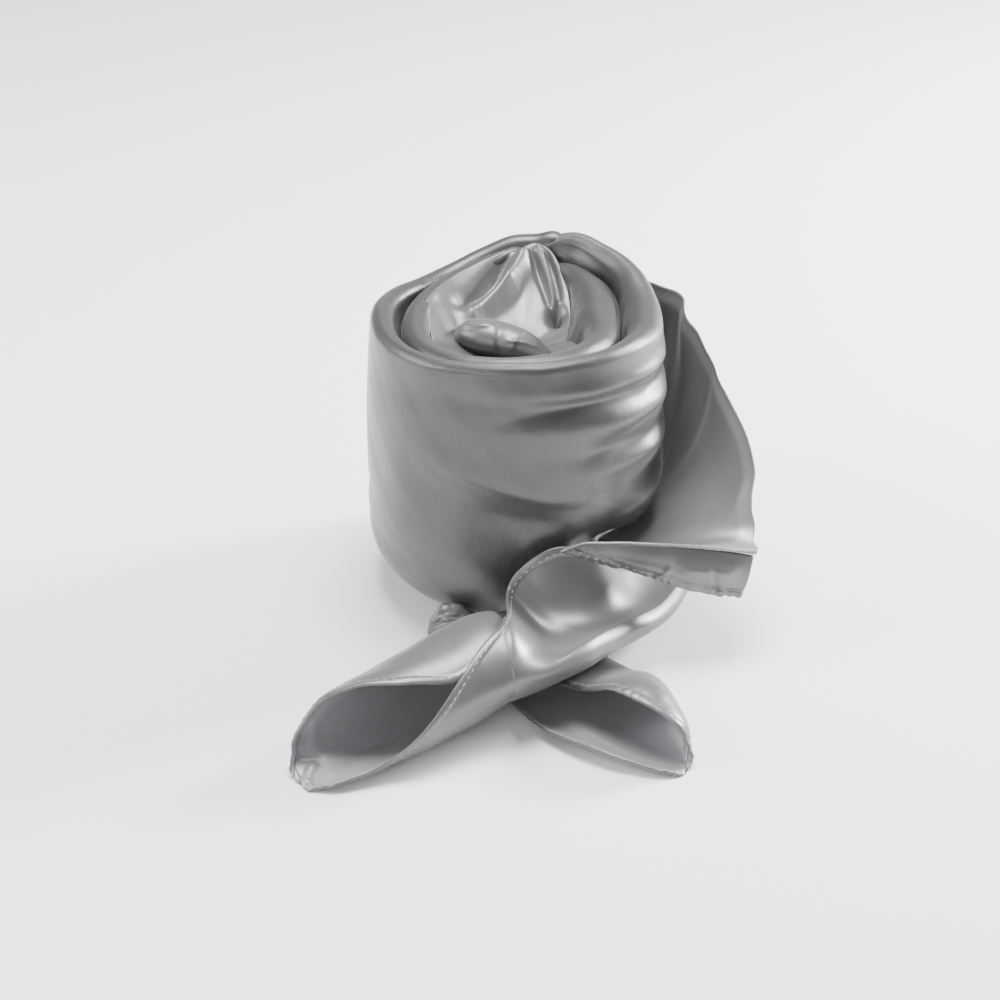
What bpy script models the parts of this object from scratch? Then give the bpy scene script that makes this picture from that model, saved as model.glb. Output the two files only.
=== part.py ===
"""A square satin neck scarf, folded to a band and wound into a standing rose.

Its two free corners are rolled and cross on the table in front of the rose.
Every size below is in millimetres and is turned into metres when a mesh is made.
The rose stands on its own axis; ROSE_X and ROSE_Y place that axis in the object.
"""

import math
from collections import namedtuple

import bpy
import numpy as np

MM = 0.001
ROSE_X = -4.42
ROSE_Y = 32.38
COIL_X = -0.5
COIL_Y = 4.0
WALL = 1.2
CORE_CLEAR = 1.1
FOOT_CURL = 17.0
ROLL_STEPS = 6
OUTER_STEPS = 10
SHORT_STEPS = 4
INNER_STEPS = 3
RIDGE_DEG = -130.0
SATIN = (0.46, 0.465, 0.48, 1.0)
SATIN_ROUGHNESS = 0.38
SATIN_METALLIC = 0.15

# One row for each section of a coiled wall, by its angle round the rose.
Wall = namedtuple("Wall", "deg radius rim_in foot foot_in rim roll tuck")
# One row for each soft drag fold that runs round a wall.
Drag = namedtuple("Drag", "deg height reach spread depth slope")
# One row for each section of a rolled tail, from its tip to its root.
Tail = namedtuple(
    "Tail",
    "along x y lift half_width half_height far_deg near_deg bowl rim_h rim_z dip",
)
# One row for each section of the petal, from the back of the rose to the hem in front.
Petal = namedtuple("Petal", "step inner_x inner_y inner_z lip_x lip_y lip_z out down front")
# One row for each place along the flap, from its right end to its left end.
Flap = namedtuple("Flap", "step top_x top_y top_z hem_x hem_y hem_z lean")
# One row for each direction of the heart's outline, with the height of its edge.
Edge = namedtuple("Edge", "deg reach height")
# One row for each pleat of the heart, from its high end to its low end.
Pleat = namedtuple("Pleat", "x y end_x end_y rise end_rise width")
# One row for each direction of the hidden layers, with their foot and where they swell to the wall.
Layer = namedtuple("Layer", "deg foot_reach step_low step_high")
# One row for each level of the hidden layers, with how far it is drawn in.
Ring = namedtuple("Ring", "height inset")

OUTER_WRAP = (
    Wall(74.0, 53.0, 2.0, 12.0, 6.0, 105.0, 3.8, 26.0),
    Wall(82.0, 52.8, 1.8, 11.0, 7.0, 103.8, 4.2, 26.0),
    Wall(92.0, 52.5, 1.5, 10.0, 7.5, 103.0, 4.2, 26.0),
    Wall(105.0, 51.5, 1.5, 9.0, 8.0, 99.5, 4.2, 26.0),
    Wall(120.0, 51.0, 2.0, 8.0, 8.0, 96.0, 4.2, 26.0),
    Wall(137.0, 50.5, 2.5, 7.0, 8.0, 95.0, 4.0, 26.0),
    Wall(157.0, 50.5, 2.5, 6.0, 8.0, 96.5, 3.8, 26.0),
    Wall(180.0, 50.5, 2.5, 6.0, 8.0, 98.0, 3.6, 26.0),
    Wall(210.0, 50.6, 3.5, 6.5, 8.0, 97.0, 3.4, 26.0),
    Wall(240.0, 50.6, 4.5, 7.0, 8.0, 98.0, 3.0, 26.0),
    Wall(265.0, 50.5, 5.0, 9.0, 8.0, 99.5, 3.0, 26.0),
    Wall(280.0, 50.3, 4.8, 16.0, 7.0, 99.5, 3.1, 26.0),
    Wall(293.0, 50.0, 4.6, 31.0, 5.0, 99.5, 3.2, 26.0),
    Wall(303.0, 50.0, 4.4, 35.0, 4.0, 99.3, 3.4, 26.0),
    Wall(325.0, 49.5, 3.5, 35.5, 4.0, 98.5, 3.9, 26.0),
    Wall(345.0, 49.0, 2.0, 35.0, 4.0, 97.5, 5.2, 26.0),
)
RIGHT_SHOULDER = (
    Wall(346.0, 49.0, 2.0, 35.0, 4.0, 97.5, 5.3, 22.0),
    Wall(360.0, 48.5, 1.0, 35.0, 4.0, 97.6, 6.3, 22.0),
    Wall(375.0, 48.5, 0.5, 34.0, 4.0, 99.0, 5.9, 22.0),
    Wall(390.0, 49.2, 0.0, 34.0, 4.0, 101.5, 5.0, 22.0),
    Wall(410.0, 50.5, 0.0, 32.0, 4.0, 104.0, 4.2, 24.0),
    Wall(432.0, 50.5, 0.0, 30.0, 4.0, 104.5, 3.6, 24.0),
)
SECOND_TURN = (
    Wall(91.0, 41.8, 0.0, 74.0, 0.0, 102.0, 2.2, 20.0),
    Wall(100.0, 41.2, 0.0, 74.0, 0.0, 101.0, 3.4, 20.0),
    Wall(112.0, 40.2, 0.0, 74.0, 0.0, 99.5, 4.2, 20.0),
    Wall(130.0, 38.6, 0.0, 74.0, 0.0, 97.5, 4.4, 20.0),
    Wall(150.0, 36.5, 0.0, 74.0, 0.0, 96.5, 4.5, 20.0),
    Wall(180.0, 35.5, 0.0, 74.0, 0.0, 95.5, 4.5, 20.0),
    Wall(210.0, 36.0, 0.0, 74.0, 0.0, 95.0, 4.3, 20.0),
    Wall(240.0, 37.5, 0.0, 74.0, 0.0, 96.0, 4.0, 20.0),
    Wall(270.0, 38.2, 0.0, 74.0, 0.0, 97.5, 4.0, 20.0),
    Wall(300.0, 38.2, 0.0, 74.0, 0.0, 97.5, 4.6, 20.0),
    Wall(320.0, 36.7, 0.0, 74.0, 0.0, 97.2, 5.2, 20.0),
    Wall(340.0, 34.6, 0.0, 74.0, 0.0, 97.0, 5.8, 20.0),
)
INNER_LOBE = (
    Wall(341.0, 34.5, 0.0, 74.0, 0.0, 97.0, 5.9, 17.0),
    Wall(355.0, 33.4, 0.0, 74.0, 0.0, 97.2, 6.8, 17.0),
    Wall(368.0, 34.0, 0.0, 74.0, 0.0, 97.8, 7.6, 17.0),
    Wall(382.0, 36.2, 0.0, 74.0, 0.0, 98.4, 8.0, 17.0),
    Wall(396.0, 39.0, 0.0, 74.0, 0.0, 98.8, 8.0, 17.0),
    Wall(408.0, 40.6, 0.0, 74.0, 0.0, 97.5, 7.0, 16.0),
    Wall(416.0, 40.8, 0.0, 74.0, 0.0, 94.5, 4.8, 13.0),
    Wall(420.0, 39.6, 0.0, 74.0, 0.0, 90.0, 2.6, 10.0),
)
DRAG_FOLDS = (
    Drag(332.0, 84.0, 58.0, 4.5, 1.9, 0.13),
    Drag(332.0, 76.5, 52.0, 4.5, -2.0, 0.14),
    Drag(332.0, 69.0, 44.0, 4.5, 2.0, 0.10),
    Drag(332.0, 61.0, 40.0, 4.5, -1.8, 0.08),
    Drag(332.0, 53.0, 34.0, 4.5, 1.6, 0.06),
    Drag(332.0, 45.0, 28.0, 4.5, -1.4, 0.0),
    Drag(262.0, 54.0, 40.0, 6.0, -1.2, 0.30),
)
FRONT_TAIL = (
    Tail(0.0, -64.5, -118.0, 0.0, 5.5, 2.8, 90.0, -40.0, 0.0, 0.0, 0.0, 0.0),
    Tail(6.0, -61.0, -115.3, 0.0, 10.8, 7.5, 122.0, -44.0, 0.0, 0.0, 0.0, 0.0),
    Tail(15.0, -54.3, -110.8, 0.0, 14.0, 11.8, 141.0, -49.0, 0.0, 0.0, 0.0, 0.0),
    Tail(26.0, -45.7, -104.0, 0.0, 15.2, 13.2, 165.0, -66.0, 0.0, 0.0, 0.0, 0.0),
    Tail(35.0, -38.5, -98.7, 0.0, 15.9, 13.7, 193.0, -90.0, 0.0, 0.0, 0.0, 0.0),
    Tail(43.0, -32.0, -94.0, 0.4, 16.5, 13.9, 211.0, -112.0, 0.0, 0.0, 0.0, 0.0),
    Tail(51.0, -25.2, -89.3, 1.2, 17.2, 14.0, 229.0, -133.0, 0.0, 0.0, 0.0, 0.0),
    Tail(62.0, -16.5, -83.4, 3.4, 17.8, 13.8, 224.0, -153.0, 0.0, 0.0, 0.0, 0.0),
    Tail(71.0, -8.5, -79.0, 6.0, 18.3, 13.0, 204.0, -167.0, 0.0, 8.0, 28.0, 0.0),
    Tail(80.0, 0.0, -76.3, 8.0, 18.8, 11.2, 142.0, -180.0, 0.3, 14.0, 28.0, 0.0),
    Tail(88.0, 6.5, -72.0, 9.6, 18.8, 9.2, 84.0, -190.0, 1.0, 18.4, 26.5, 6.0),
    Tail(98.0, 14.0, -64.8, 10.4, 17.4, 8.0, 60.0, -190.0, 1.0, 18.4, 33.0, 8.0),
    Tail(105.0, 19.4, -58.8, 9.6, 15.8, 7.5, 55.0, -190.0, 1.0, 13.4, 38.4, 9.0),
    Tail(112.0, 25.0, -53.0, 8.6, 14.0, 7.0, 52.0, -190.0, 1.0, 8.4, 37.2, 8.0),
    Tail(130.0, 35.6, -38.0, 5.5, 12.0, 6.3, 50.0, -190.0, 1.0, 7.0, 24.0, 3.0),
    Tail(150.0, 46.5, -21.0, 3.0, 11.0, 6.0, 60.0, -190.0, 1.0, 5.0, 17.0, 1.0),
)
REAR_TAIL = (
    Tail(0.0, 49.8, -111.8, 0.0, 3.8, 2.5, 120.0, -40.0, 0.0, 0.0, 0.0, 0.0),
    Tail(6.0, 46.4, -109.4, 0.0, 8.3, 6.5, 153.0, -50.0, 0.0, 0.0, 0.0, 0.0),
    Tail(16.0, 39.2, -102.6, 0.0, 13.8, 9.0, 176.0, -60.0, 0.0, 0.0, 0.0, 0.0),
    Tail(33.0, 28.0, -90.2, 0.0, 19.8, 9.0, 189.0, -64.0, 0.0, 0.0, 0.0, 0.0),
    Tail(40.0, 23.2, -84.6, 0.0, 21.2, 7.0, 193.0, -64.0, 0.0, 0.0, 0.0, 0.0),
    Tail(48.0, 17.5, -77.0, 0.0, 20.8, 5.2, 196.0, -64.0, 0.0, 0.0, 0.0, 0.0),
    Tail(62.0, 7.0, -65.0, 0.0, 18.5, 5.35, 198.0, -64.0, 0.0, 0.0, 0.0, 0.0),
    Tail(78.0, -5.0, -52.0, 0.0, 13.0, 4.0, 198.0, -70.0, 0.0, 0.0, 0.0, 0.0),
)
TUCKED_END = (
    Tail(0.0, -27.4, -38.8, 0.0, 4.0, 3.6, 130.0, -70.0, 0.0, 0.0, 0.0, 0.0),
    Tail(5.0, -24.3, -40.2, 0.0, 6.0, 5.6, 150.0, -80.0, 0.0, 0.0, 0.0, 0.0),
    Tail(10.0, -19.8, -42.1, 0.0, 6.5, 6.2, 150.0, -80.0, 0.0, 0.0, 0.0, 0.0),
    Tail(16.0, -14.3, -44.0, 0.0, 5.0, 5.6, 150.0, -80.0, 0.0, 0.0, 0.0, 0.0),
)
PETAL = (
    Petal(0.0, 14.6, 46.6, 12.0, 16.9, 54.3, 97.0, 3.0, 0.0, 0.0),
    Petal(1.0, 27.6, 40.2, 14.0, 33.4, 47.0, 92.0, 3.0, 0.0, 0.0),
    Petal(2.0, 37.0, 32.0, 17.0, 45.0, 37.0, 91.0, 3.0, 0.0, 0.0),
    Petal(3.0, 42.0, 22.0, 21.0, 53.5, 26.0, 94.0, 3.0, 0.0, 0.0),
    Petal(4.0, 43.0, 14.0, 22.0, 56.8, 16.0, 87.0, 4.0, 2.0, 0.0),
    Petal(5.0, 41.8, 6.5, 23.0, 62.0, 7.0, 79.0, 5.0, 3.0, 0.0),
    Petal(6.0, 38.8, -2.0, 24.0, 68.5, -3.5, 69.5, 6.0, 4.0, 0.0),
    Petal(7.0, 34.2, -11.5, 25.5, 74.0, -13.0, 60.0, 6.0, 5.0, 0.0),
    Petal(8.0, 27.0, -22.0, 27.0, 75.8, -26.0, 49.5, 4.0, 5.0, 0.0),
    Petal(9.0, 24.0, -38.0, 32.0, 75.5, -36.0, 39.5, 2.0, 3.0, 1.0),
    Petal(10.0, 15.5, -51.0, 43.0, 75.8, -44.0, 34.3, 0.0, -3.6, 3.0),
)
FLAP = (
    Flap(0.0, 75.0, -43.4, 31.2, 71.3, -44.0, 18.1, 2.5),
    Flap(1.0, 67.0, -45.6, 33.8, 63.3, -46.0, 20.0, 3.0),
    Flap(2.0, 57.0, -47.6, 36.2, 54.7, -48.0, 23.4, 3.0),
    Flap(3.0, 48.0, -48.9, 37.6, 46.5, -49.0, 26.9, 2.5),
    Flap(4.0, 39.0, -49.7, 38.7, 38.3, -50.0, 31.0, 2.0),
    Flap(5.0, 30.0, -50.4, 39.2, 29.8, -50.8, 33.8, 1.0),
    Flap(6.0, 22.0, -50.6, 39.3, 21.5, -50.8, 35.8, 0.5),
)
HEART_EDGE = (
    Edge(0.0, 18.0, 86.0),
    Edge(15.0, 17.0, 86.0),
    Edge(30.0, 18.5, 87.0),
    Edge(45.0, 22.0, 88.0),
    Edge(54.0, 27.0, 90.0),
    Edge(62.0, 33.0, 95.0),
    Edge(70.0, 39.0, 100.5),
    Edge(80.0, 40.6, 103.0),
    Edge(87.0, 40.4, 103.0),
    Edge(92.0, 35.4, 100.5),
    Edge(100.0, 32.4, 97.0),
    Edge(112.0, 30.0, 92.5),
    Edge(130.0, 28.0, 88.0),
    Edge(150.0, 26.0, 85.0),
    Edge(180.0, 25.0, 83.0),
    Edge(210.0, 26.0, 81.0),
    Edge(240.0, 28.0, 80.0),
    Edge(270.0, 29.0, 80.0),
    Edge(300.0, 28.0, 81.0),
    Edge(330.0, 22.5, 84.0),
    Edge(345.0, 19.5, 85.5),
    Edge(360.0, 18.0, 86.0),
)
HEART_PLEATS = (
    Pleat(4.0, 50.0, 10.0, 30.0, 4.0, 3.0, 2.6),
    Pleat(9.0, 49.0, 17.0, 34.0, 4.0, 2.0, 3.0),
    Pleat(-2.0, 47.0, -9.0, 31.0, 3.0, 6.0, 4.5),
    Pleat(-9.0, 31.0, -20.0, 21.0, 6.0, 3.0, 4.5),
)
HEART_LOW = 79.0
HEART_CURL = (
    Tail(0.0, -16.0, 11.5, 83.2, 4.0, 3.2, 150.0, -150.0, 0.0, 0.0, 0.0, 0.0),
    Tail(6.0, -10.0, 9.0, 83.0, 6.0, 4.6, 160.0, -160.0, 0.0, 0.0, 0.0, 0.0),
    Tail(16.0, -1.0, 6.0, 82.5, 6.0, 4.2, 160.0, -160.0, 0.0, 0.0, 0.0, 0.0),
    Tail(26.0, 8.5, 5.5, 82.5, 4.0, 3.2, 150.0, -150.0, 0.0, 0.0, 0.0, 0.0),
)
CORE = (
    Layer(0.0, 37.0, 37.0, 46.0),
    Layer(45.0, 38.0, 36.0, 46.0),
    Layer(75.0, 40.0, 14.0, 34.0),
    Layer(120.0, 39.0, 6.0, 22.0),
    Layer(180.0, 36.0, 8.0, 24.0),
    Layer(215.0, 30.0, 12.0, 30.0),
    Layer(250.0, 25.0, 16.0, 36.0),
    Layer(280.0, 28.0, 28.0, 44.0),
    Layer(300.0, 33.0, 37.0, 46.0),
    Layer(320.0, 33.5, 37.0, 46.0),
    Layer(340.0, 34.0, 37.0, 46.0),
    Layer(360.0, 37.0, 37.0, 46.0),
)
CORE_RINGS = (
    Ring(0.0, 0.0),
    Ring(8.0, 0.0),
    Ring(16.0, 0.0),
    Ring(24.0, 0.0),
    Ring(32.0, 0.0),
    Ring(38.0, 0.0),
    Ring(46.0, 0.0),
    Ring(54.0, 0.0),
    Ring(62.0, 0.0),
    Ring(66.4, 1.0),
    Ring(67.8, 4.0),
    Ring(68.4, 11.0),
    Ring(73.4, 14.0),
)


def smooth_rows(rows, places):
    """Read a table at the given places of its first column, with smooth slopes."""
    table = np.array(rows, float)
    key = table[:, 0]
    slope = np.gradient(table, key, axis=0)
    index = np.clip(np.searchsorted(key, places) - 1, 0, len(key) - 2)
    gap = (key[index + 1] - key[index])[:, None]
    part = (np.asarray(places) - key[index])[:, None] / gap
    square = part * part
    cube = square * part
    start = (2 * cube - 3 * square + 1) * table[index]
    start = start + (cube - 2 * square + part) * gap * slope[index]
    end = (3 * square - 2 * cube) * table[index + 1]
    end = end + (cube - square) * gap * slope[index + 1]
    return type(rows[0])(*(start + end).T)


def even_places(rows, count):
    """Evenly spaced places between a table's first and last row."""
    return np.linspace(rows[0][0], rows[-1][0], count)


def ease(value):
    """A soft step from 0 to 1."""
    part = np.clip(value, 0.0, 1.0)
    return part * part * (3.0 - 2.0 * part)


def satin_material(name):
    """Pale silver satin for one piece."""
    material = bpy.data.materials.new(name + "_satin")
    material.use_nodes = True
    shader = material.node_tree.nodes["Principled BSDF"]
    shader.inputs["Base Color"].default_value = SATIN
    shader.inputs["Roughness"].default_value = SATIN_ROUGHNESS
    shader.inputs["Metallic"].default_value = SATIN_METALLIC
    material.diffuse_color = SATIN
    return material


def place_mesh(name, points, faces):
    """A named, smooth mesh from points in millimetres round the rose's axis."""
    mesh = bpy.data.meshes.new(name)
    moved = (np.asarray(points) + (ROSE_X, ROSE_Y, 0.0)) * MM
    mesh.from_pydata([tuple(point) for point in moved], [], faces)
    mesh.polygons.foreach_set("use_smooth", [True] * len(mesh.polygons))
    mesh.materials.append(satin_material(name))
    piece = bpy.data.objects.new(name, mesh)
    bpy.context.scene.collection.objects.link(piece)
    return piece


def cloth_sheet(name, grid, wall=WALL, flip=False):
    """A closed wall of cloth whose outer face is the grid of points."""
    columns, rows = grid.shape[:2]
    faces = []
    for column in range(columns - 1):
        for row in range(rows - 1):
            first = column * rows + row
            face = (first, first + rows, first + rows + 1, first + 1)
            faces.append(face[::-1] if flip else face)
    piece = place_mesh(name, grid.reshape(-1, 3), faces)
    thicken = piece.modifiers.new("cloth_wall", "SOLIDIFY")
    thicken.thickness = wall * MM
    thicken.offset = -1.0
    thicken.use_rim = True
    return piece


def drag_depth(deg, height, drags):
    """How far the drag folds push a wall out at one angle and height."""
    depth = 0.0
    for drag in drags:
        back = drag.deg - deg
        line = drag.height + drag.slope * back
        reach = np.where(back < 0.0, 0.5 * drag.reach, drag.reach)
        fade = np.exp(-((back / reach) ** 2))
        depth = depth + drag.depth * fade * np.exp(-(((height - line) / drag.spread) ** 2))
    return depth


def wall_reach(wall, height):
    """How far a wall stands out at one height, with its curled foot and drawn-in rim."""
    shoulder = wall.rim - wall.roll
    part = np.clip((height - wall.foot) / (shoulder - wall.foot), 0.0, 1.0)
    curl = np.clip(1.0 - (height - wall.foot) / FOOT_CURL, 0.0, 1.0) ** 2
    return wall.radius - wall.foot_in * curl - wall.rim_in * part**3


def coiled_wall(name, rows, columns, outer_steps, drags=()):
    """A wall wound round the rose: outer ply, rolled rim and inner ply."""
    wall = smooth_rows(rows, even_places(rows, columns))
    angle = np.radians(wall.deg)
    shoulder = wall.rim - wall.roll
    section = []
    for part in np.linspace(0.0, 1.0, outer_steps):
        height = wall.foot + (shoulder - wall.foot) * part
        fade = ease(part / 0.1) * ease((1.0 - part) / 0.12)
        folds = fade * drag_depth(wall.deg, height, drags)
        section.append((wall_reach(wall, height) + folds, height))
    centre = wall.radius - wall.rim_in - wall.roll
    for turn in np.linspace(0.0, math.pi, ROLL_STEPS + 1)[1:]:
        reach = centre + wall.roll * math.cos(turn)
        section.append((reach, shoulder + wall.roll * math.sin(turn)))
    for part in np.linspace(0.0, 1.0, INNER_STEPS + 1)[1:]:
        section.append((centre - wall.roll, shoulder - (wall.tuck - wall.roll) * part))
    grid = np.empty((columns, len(section), 3))
    for index, (reach, height) in enumerate(section):
        grid[:, index, 0] = COIL_X + reach * np.cos(angle)
        grid[:, index, 1] = COIL_Y + reach * np.sin(angle)
        grid[:, index, 2] = height
    return cloth_sheet(name, grid)


def rolled_tail(name, rows, columns, steps, side, tight=0.2, flip=False):
    """A rolled corner: far hem, floor, near side and the rim of the bowl at its root."""
    tail = smooth_rows(rows, even_places(rows, columns))
    slope_x = np.gradient(tail.x)
    slope_y = np.gradient(tail.y)
    length = np.hypot(slope_x, slope_y)
    across_x = -side * slope_y / length
    across_y = side * slope_x / length
    grid = np.empty((columns, steps, 3))
    ridge = np.maximum(tail.near_deg, RIDGE_DEG)
    for index, part in enumerate(np.linspace(0.0, 1.0, steps)):
        deg = tail.far_deg + (tail.near_deg - tail.far_deg) * part
        shrink = 1.0 - tight * ease((deg - 100.0) / 110.0)
        turn = np.radians(deg)
        across = tail.half_width * np.sin(turn) * shrink
        height = tail.half_height * (1.0 - np.cos(turn) * shrink)
        over = np.clip((ridge - deg) / np.maximum(ridge - tail.near_deg, 1.0), 0.0, 1.0)
        ridge_turn = np.radians(ridge)
        ridge_across = tail.half_width * np.sin(ridge_turn)
        ridge_height = tail.half_height * (1.0 - np.cos(ridge_turn))
        bowl_across = ridge_across + (tail.rim_h - ridge_across) * over
        bowl_height = ridge_height + (tail.rim_z - tail.lift - ridge_height) * over
        bowl_height = bowl_height - tail.dip * 4.0 * over * (1.0 - over)
        blend = np.where(deg < ridge, ease(tail.bowl), 0.0)
        across = across + (bowl_across - across) * blend
        height = height + (bowl_height - height) * blend
        grid[:, index, 0] = tail.x + across_x * across
        grid[:, index, 1] = tail.y + across_y * across
        grid[:, index, 2] = np.maximum(tail.lift + height, 0.0)
    return cloth_sheet(name, grid, flip=flip)


def petal(columns, steps):
    """The open petal at the right, from the back of the rose to its hem in front."""
    row = smooth_rows(PETAL, even_places(PETAL, columns))
    inner = np.stack((row.inner_x, row.inner_y, row.inner_z), axis=1)
    lip = np.stack((row.lip_x, row.lip_y, row.lip_z), axis=1)
    span = lip - inner
    level = np.stack((span[:, 0], span[:, 1], np.zeros(columns)), axis=1)
    level = level / np.linalg.norm(level, axis=1)[:, None]
    grid = np.empty((columns, steps, 3))
    for index, part in enumerate(np.linspace(0.0, 1.0, steps)):
        belly = 4.0 * part * (1.0 - part)
        grid[:, index] = inner + span * part + level * (row.out * belly)[:, None]
        grid[:, index, 1] -= row.front * belly
        grid[:, index, 2] -= row.down * belly
    return cloth_sheet("petal", grid)


def flap(columns, steps):
    """The turned-under strip that hangs below the petal's hem."""
    row = smooth_rows(FLAP, even_places(FLAP, columns))
    grid = np.empty((columns, steps, 3))
    for index, part in enumerate(np.linspace(0.0, 1.0, steps)):
        grid[:, index, 0] = row.top_x + (row.hem_x - row.top_x) * part
        grid[:, index, 1] = row.top_y + (row.hem_y - row.top_y) * part
        grid[:, index, 1] -= row.lean * math.sin(math.pi * part)
        grid[:, index, 2] = row.top_z + (row.hem_z - row.top_z) * part
    return cloth_sheet("flap", grid)


def heart_height(x, y, part, edge):
    """Height of the heart's cloth: a bowl with pleats that run down from the back."""
    height = HEART_LOW + (edge - HEART_LOW) * part**1.6
    for pleat in HEART_PLEATS:
        run_x = pleat.end_x - pleat.x
        run_y = pleat.end_y - pleat.y
        length = math.hypot(run_x, run_y)
        along = ((x - pleat.x) * run_x + (y - pleat.y) * run_y) / length**2
        held = np.clip(along, 0.0, 1.0)
        away = np.hypot(x - pleat.x - run_x * held, y - pleat.y - run_y * held)
        rise = pleat.rise + (pleat.end_rise - pleat.rise) * held
        height = height + rise * np.exp(-((away / pleat.width) ** 2)) * ease((1.0 - part) / 0.12)
    return height


def heart_folds(columns, rings):
    """The pleated middle of the rose, as one sheet inside the second turn."""
    edge = smooth_rows(HEART_EDGE, np.linspace(0.0, 360.0, columns + 1)[:-1])
    angle = np.radians(edge.deg)
    points = [(COIL_X, COIL_Y, HEART_LOW)]
    for ring in range(1, rings + 1):
        part = ring / rings
        x = COIL_X + edge.reach * part * np.cos(angle)
        y = COIL_Y + edge.reach * part * np.sin(angle)
        points.extend(zip(x, y, heart_height(x, y, part, edge.height)))
    faces = []
    for column in range(columns):
        after = (column + 1) % columns
        faces.append((0, 1 + column, 1 + after))
        for ring in range(rings - 1):
            low = 1 + ring * columns
            high = low + columns
            faces.append((low + column, high + column, high + after, low + after))
    piece = place_mesh("heart_folds", points, faces)
    thicken = piece.modifiers.new("cloth_wall", "SOLIDIFY")
    thicken.thickness = WALL * MM
    thicken.offset = -1.0
    thicken.use_rim = True
    return piece


def walls_round(deg):
    """The wound walls' sizes in each direction of the rose."""
    first, last = OUTER_WRAP[0].deg, OUTER_WRAP[-1].deg
    low, high = RIGHT_SHOULDER[0].deg, RIGHT_SHOULDER[-1].deg
    outer = smooth_rows(OUTER_WRAP, np.clip(deg, first, last))
    behind = np.where(deg < first, deg + 360.0, deg)
    shoulder = smooth_rows(RIGHT_SHOULDER, np.clip(behind, low, high))
    wound = (deg >= first) & (deg <= last)
    return Wall(*(np.where(wound, a, b) for a, b in zip(outer, shoulder)))


def core(columns):
    """The hidden layers inside and under the rose, as one rounded solid."""
    layer = smooth_rows(CORE, np.linspace(0.0, 360.0, columns + 1)[:-1])
    angle = np.radians(layer.deg)
    wall = walls_round(layer.deg)
    points = []
    for ring in CORE_RINGS:
        swell = ease((ring.height - layer.step_low) / (layer.step_high - layer.step_low))
        folds = np.minimum(drag_depth(layer.deg, ring.height, DRAG_FOLDS), 0.0)
        full = wall_reach(wall, ring.height) + folds - WALL - CORE_CLEAR - ring.inset
        reach = layer.foot_reach + (full - layer.foot_reach) * swell
        x = COIL_X + reach * np.cos(angle)
        y = COIL_Y + reach * np.sin(angle)
        points.extend(zip(x, y, np.full(columns, ring.height)))
    faces = [tuple(range(columns))[::-1]]
    for level in range(len(CORE_RINGS) - 1):
        low = level * columns
        high = low + columns
        for column in range(columns):
            after = (column + 1) % columns
            faces.append((low + column, low + after, high + after, high + column))
    faces.append(tuple(high + column for column in range(columns)))
    return place_mesh("core", points, faces)


def main():
    for piece in list(bpy.data.objects):
        bpy.data.objects.remove(piece)
    coiled_wall("outer_wrap", OUTER_WRAP, 40, OUTER_STEPS, DRAG_FOLDS)
    coiled_wall("right_shoulder", RIGHT_SHOULDER, 14, OUTER_STEPS, DRAG_FOLDS)
    coiled_wall("second_turn", SECOND_TURN, 30, SHORT_STEPS)
    coiled_wall("inner_lobe", INNER_LOBE, 12, SHORT_STEPS)
    heart_folds(40, 8)
    rolled_tail("heart_curl", HEART_CURL, 8, 12, 1.0)
    petal(26, 10)
    flap(18, 4)
    rolled_tail("front_tail", FRONT_TAIL, 31, 23, 1.0)
    rolled_tail("rear_tail", REAR_TAIL, 17, 15, -1.0, flip=True)
    rolled_tail("tucked_end", TUCKED_END, 7, 10, 1.0)
    core(36)


if __name__ == "__main__":
    main()
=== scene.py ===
"""A satin neck scarf, folded to a band and wound into a standing rose, dressed over its solids.

Sizes in the tables are in millimetres from the rose's own axis, as in the part's source.
Each piece of cloth is a thin sheet with its folds, creases, rolled hems and stitches.
"""

import math
from collections import namedtuple

import bpy
import numpy as np
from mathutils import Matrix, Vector


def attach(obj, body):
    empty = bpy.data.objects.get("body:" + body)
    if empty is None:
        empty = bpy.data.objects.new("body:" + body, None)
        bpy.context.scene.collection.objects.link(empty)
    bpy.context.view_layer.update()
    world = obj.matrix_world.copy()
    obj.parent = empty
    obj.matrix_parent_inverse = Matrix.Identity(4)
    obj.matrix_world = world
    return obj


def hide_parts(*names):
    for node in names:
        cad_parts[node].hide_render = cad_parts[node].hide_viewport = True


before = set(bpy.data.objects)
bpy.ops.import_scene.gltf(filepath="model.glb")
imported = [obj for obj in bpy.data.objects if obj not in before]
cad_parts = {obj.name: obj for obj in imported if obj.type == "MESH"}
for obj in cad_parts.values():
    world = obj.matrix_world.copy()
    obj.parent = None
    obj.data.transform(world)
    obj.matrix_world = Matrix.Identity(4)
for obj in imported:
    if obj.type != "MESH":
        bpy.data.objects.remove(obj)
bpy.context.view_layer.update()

bl_info = {
    "name": "Satin rose neck scarf",
    "version": (1, 0, 0),
    "blender": (4, 5, 0),
    "location": "3D View > Sidebar > Scarf",
    "description": "A satin neck scarf wound into a rose, with folds, rolled hems and stitches",
    "category": "Add Mesh",
}

MM = 0.001
ROSE_X = -4.42
ROSE_Y = 32.38
COIL_X = -0.5
COIL_Y = 4.0
FOOT_CURL = 17.0
RIDGE_DEG = -130.0
PLAIN_RIBS = 0.12
OPEN_RIBS = 0.15
PETAL_STEPS = 10.0
PETAL_STEP_LENGTH = 12.0
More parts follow.
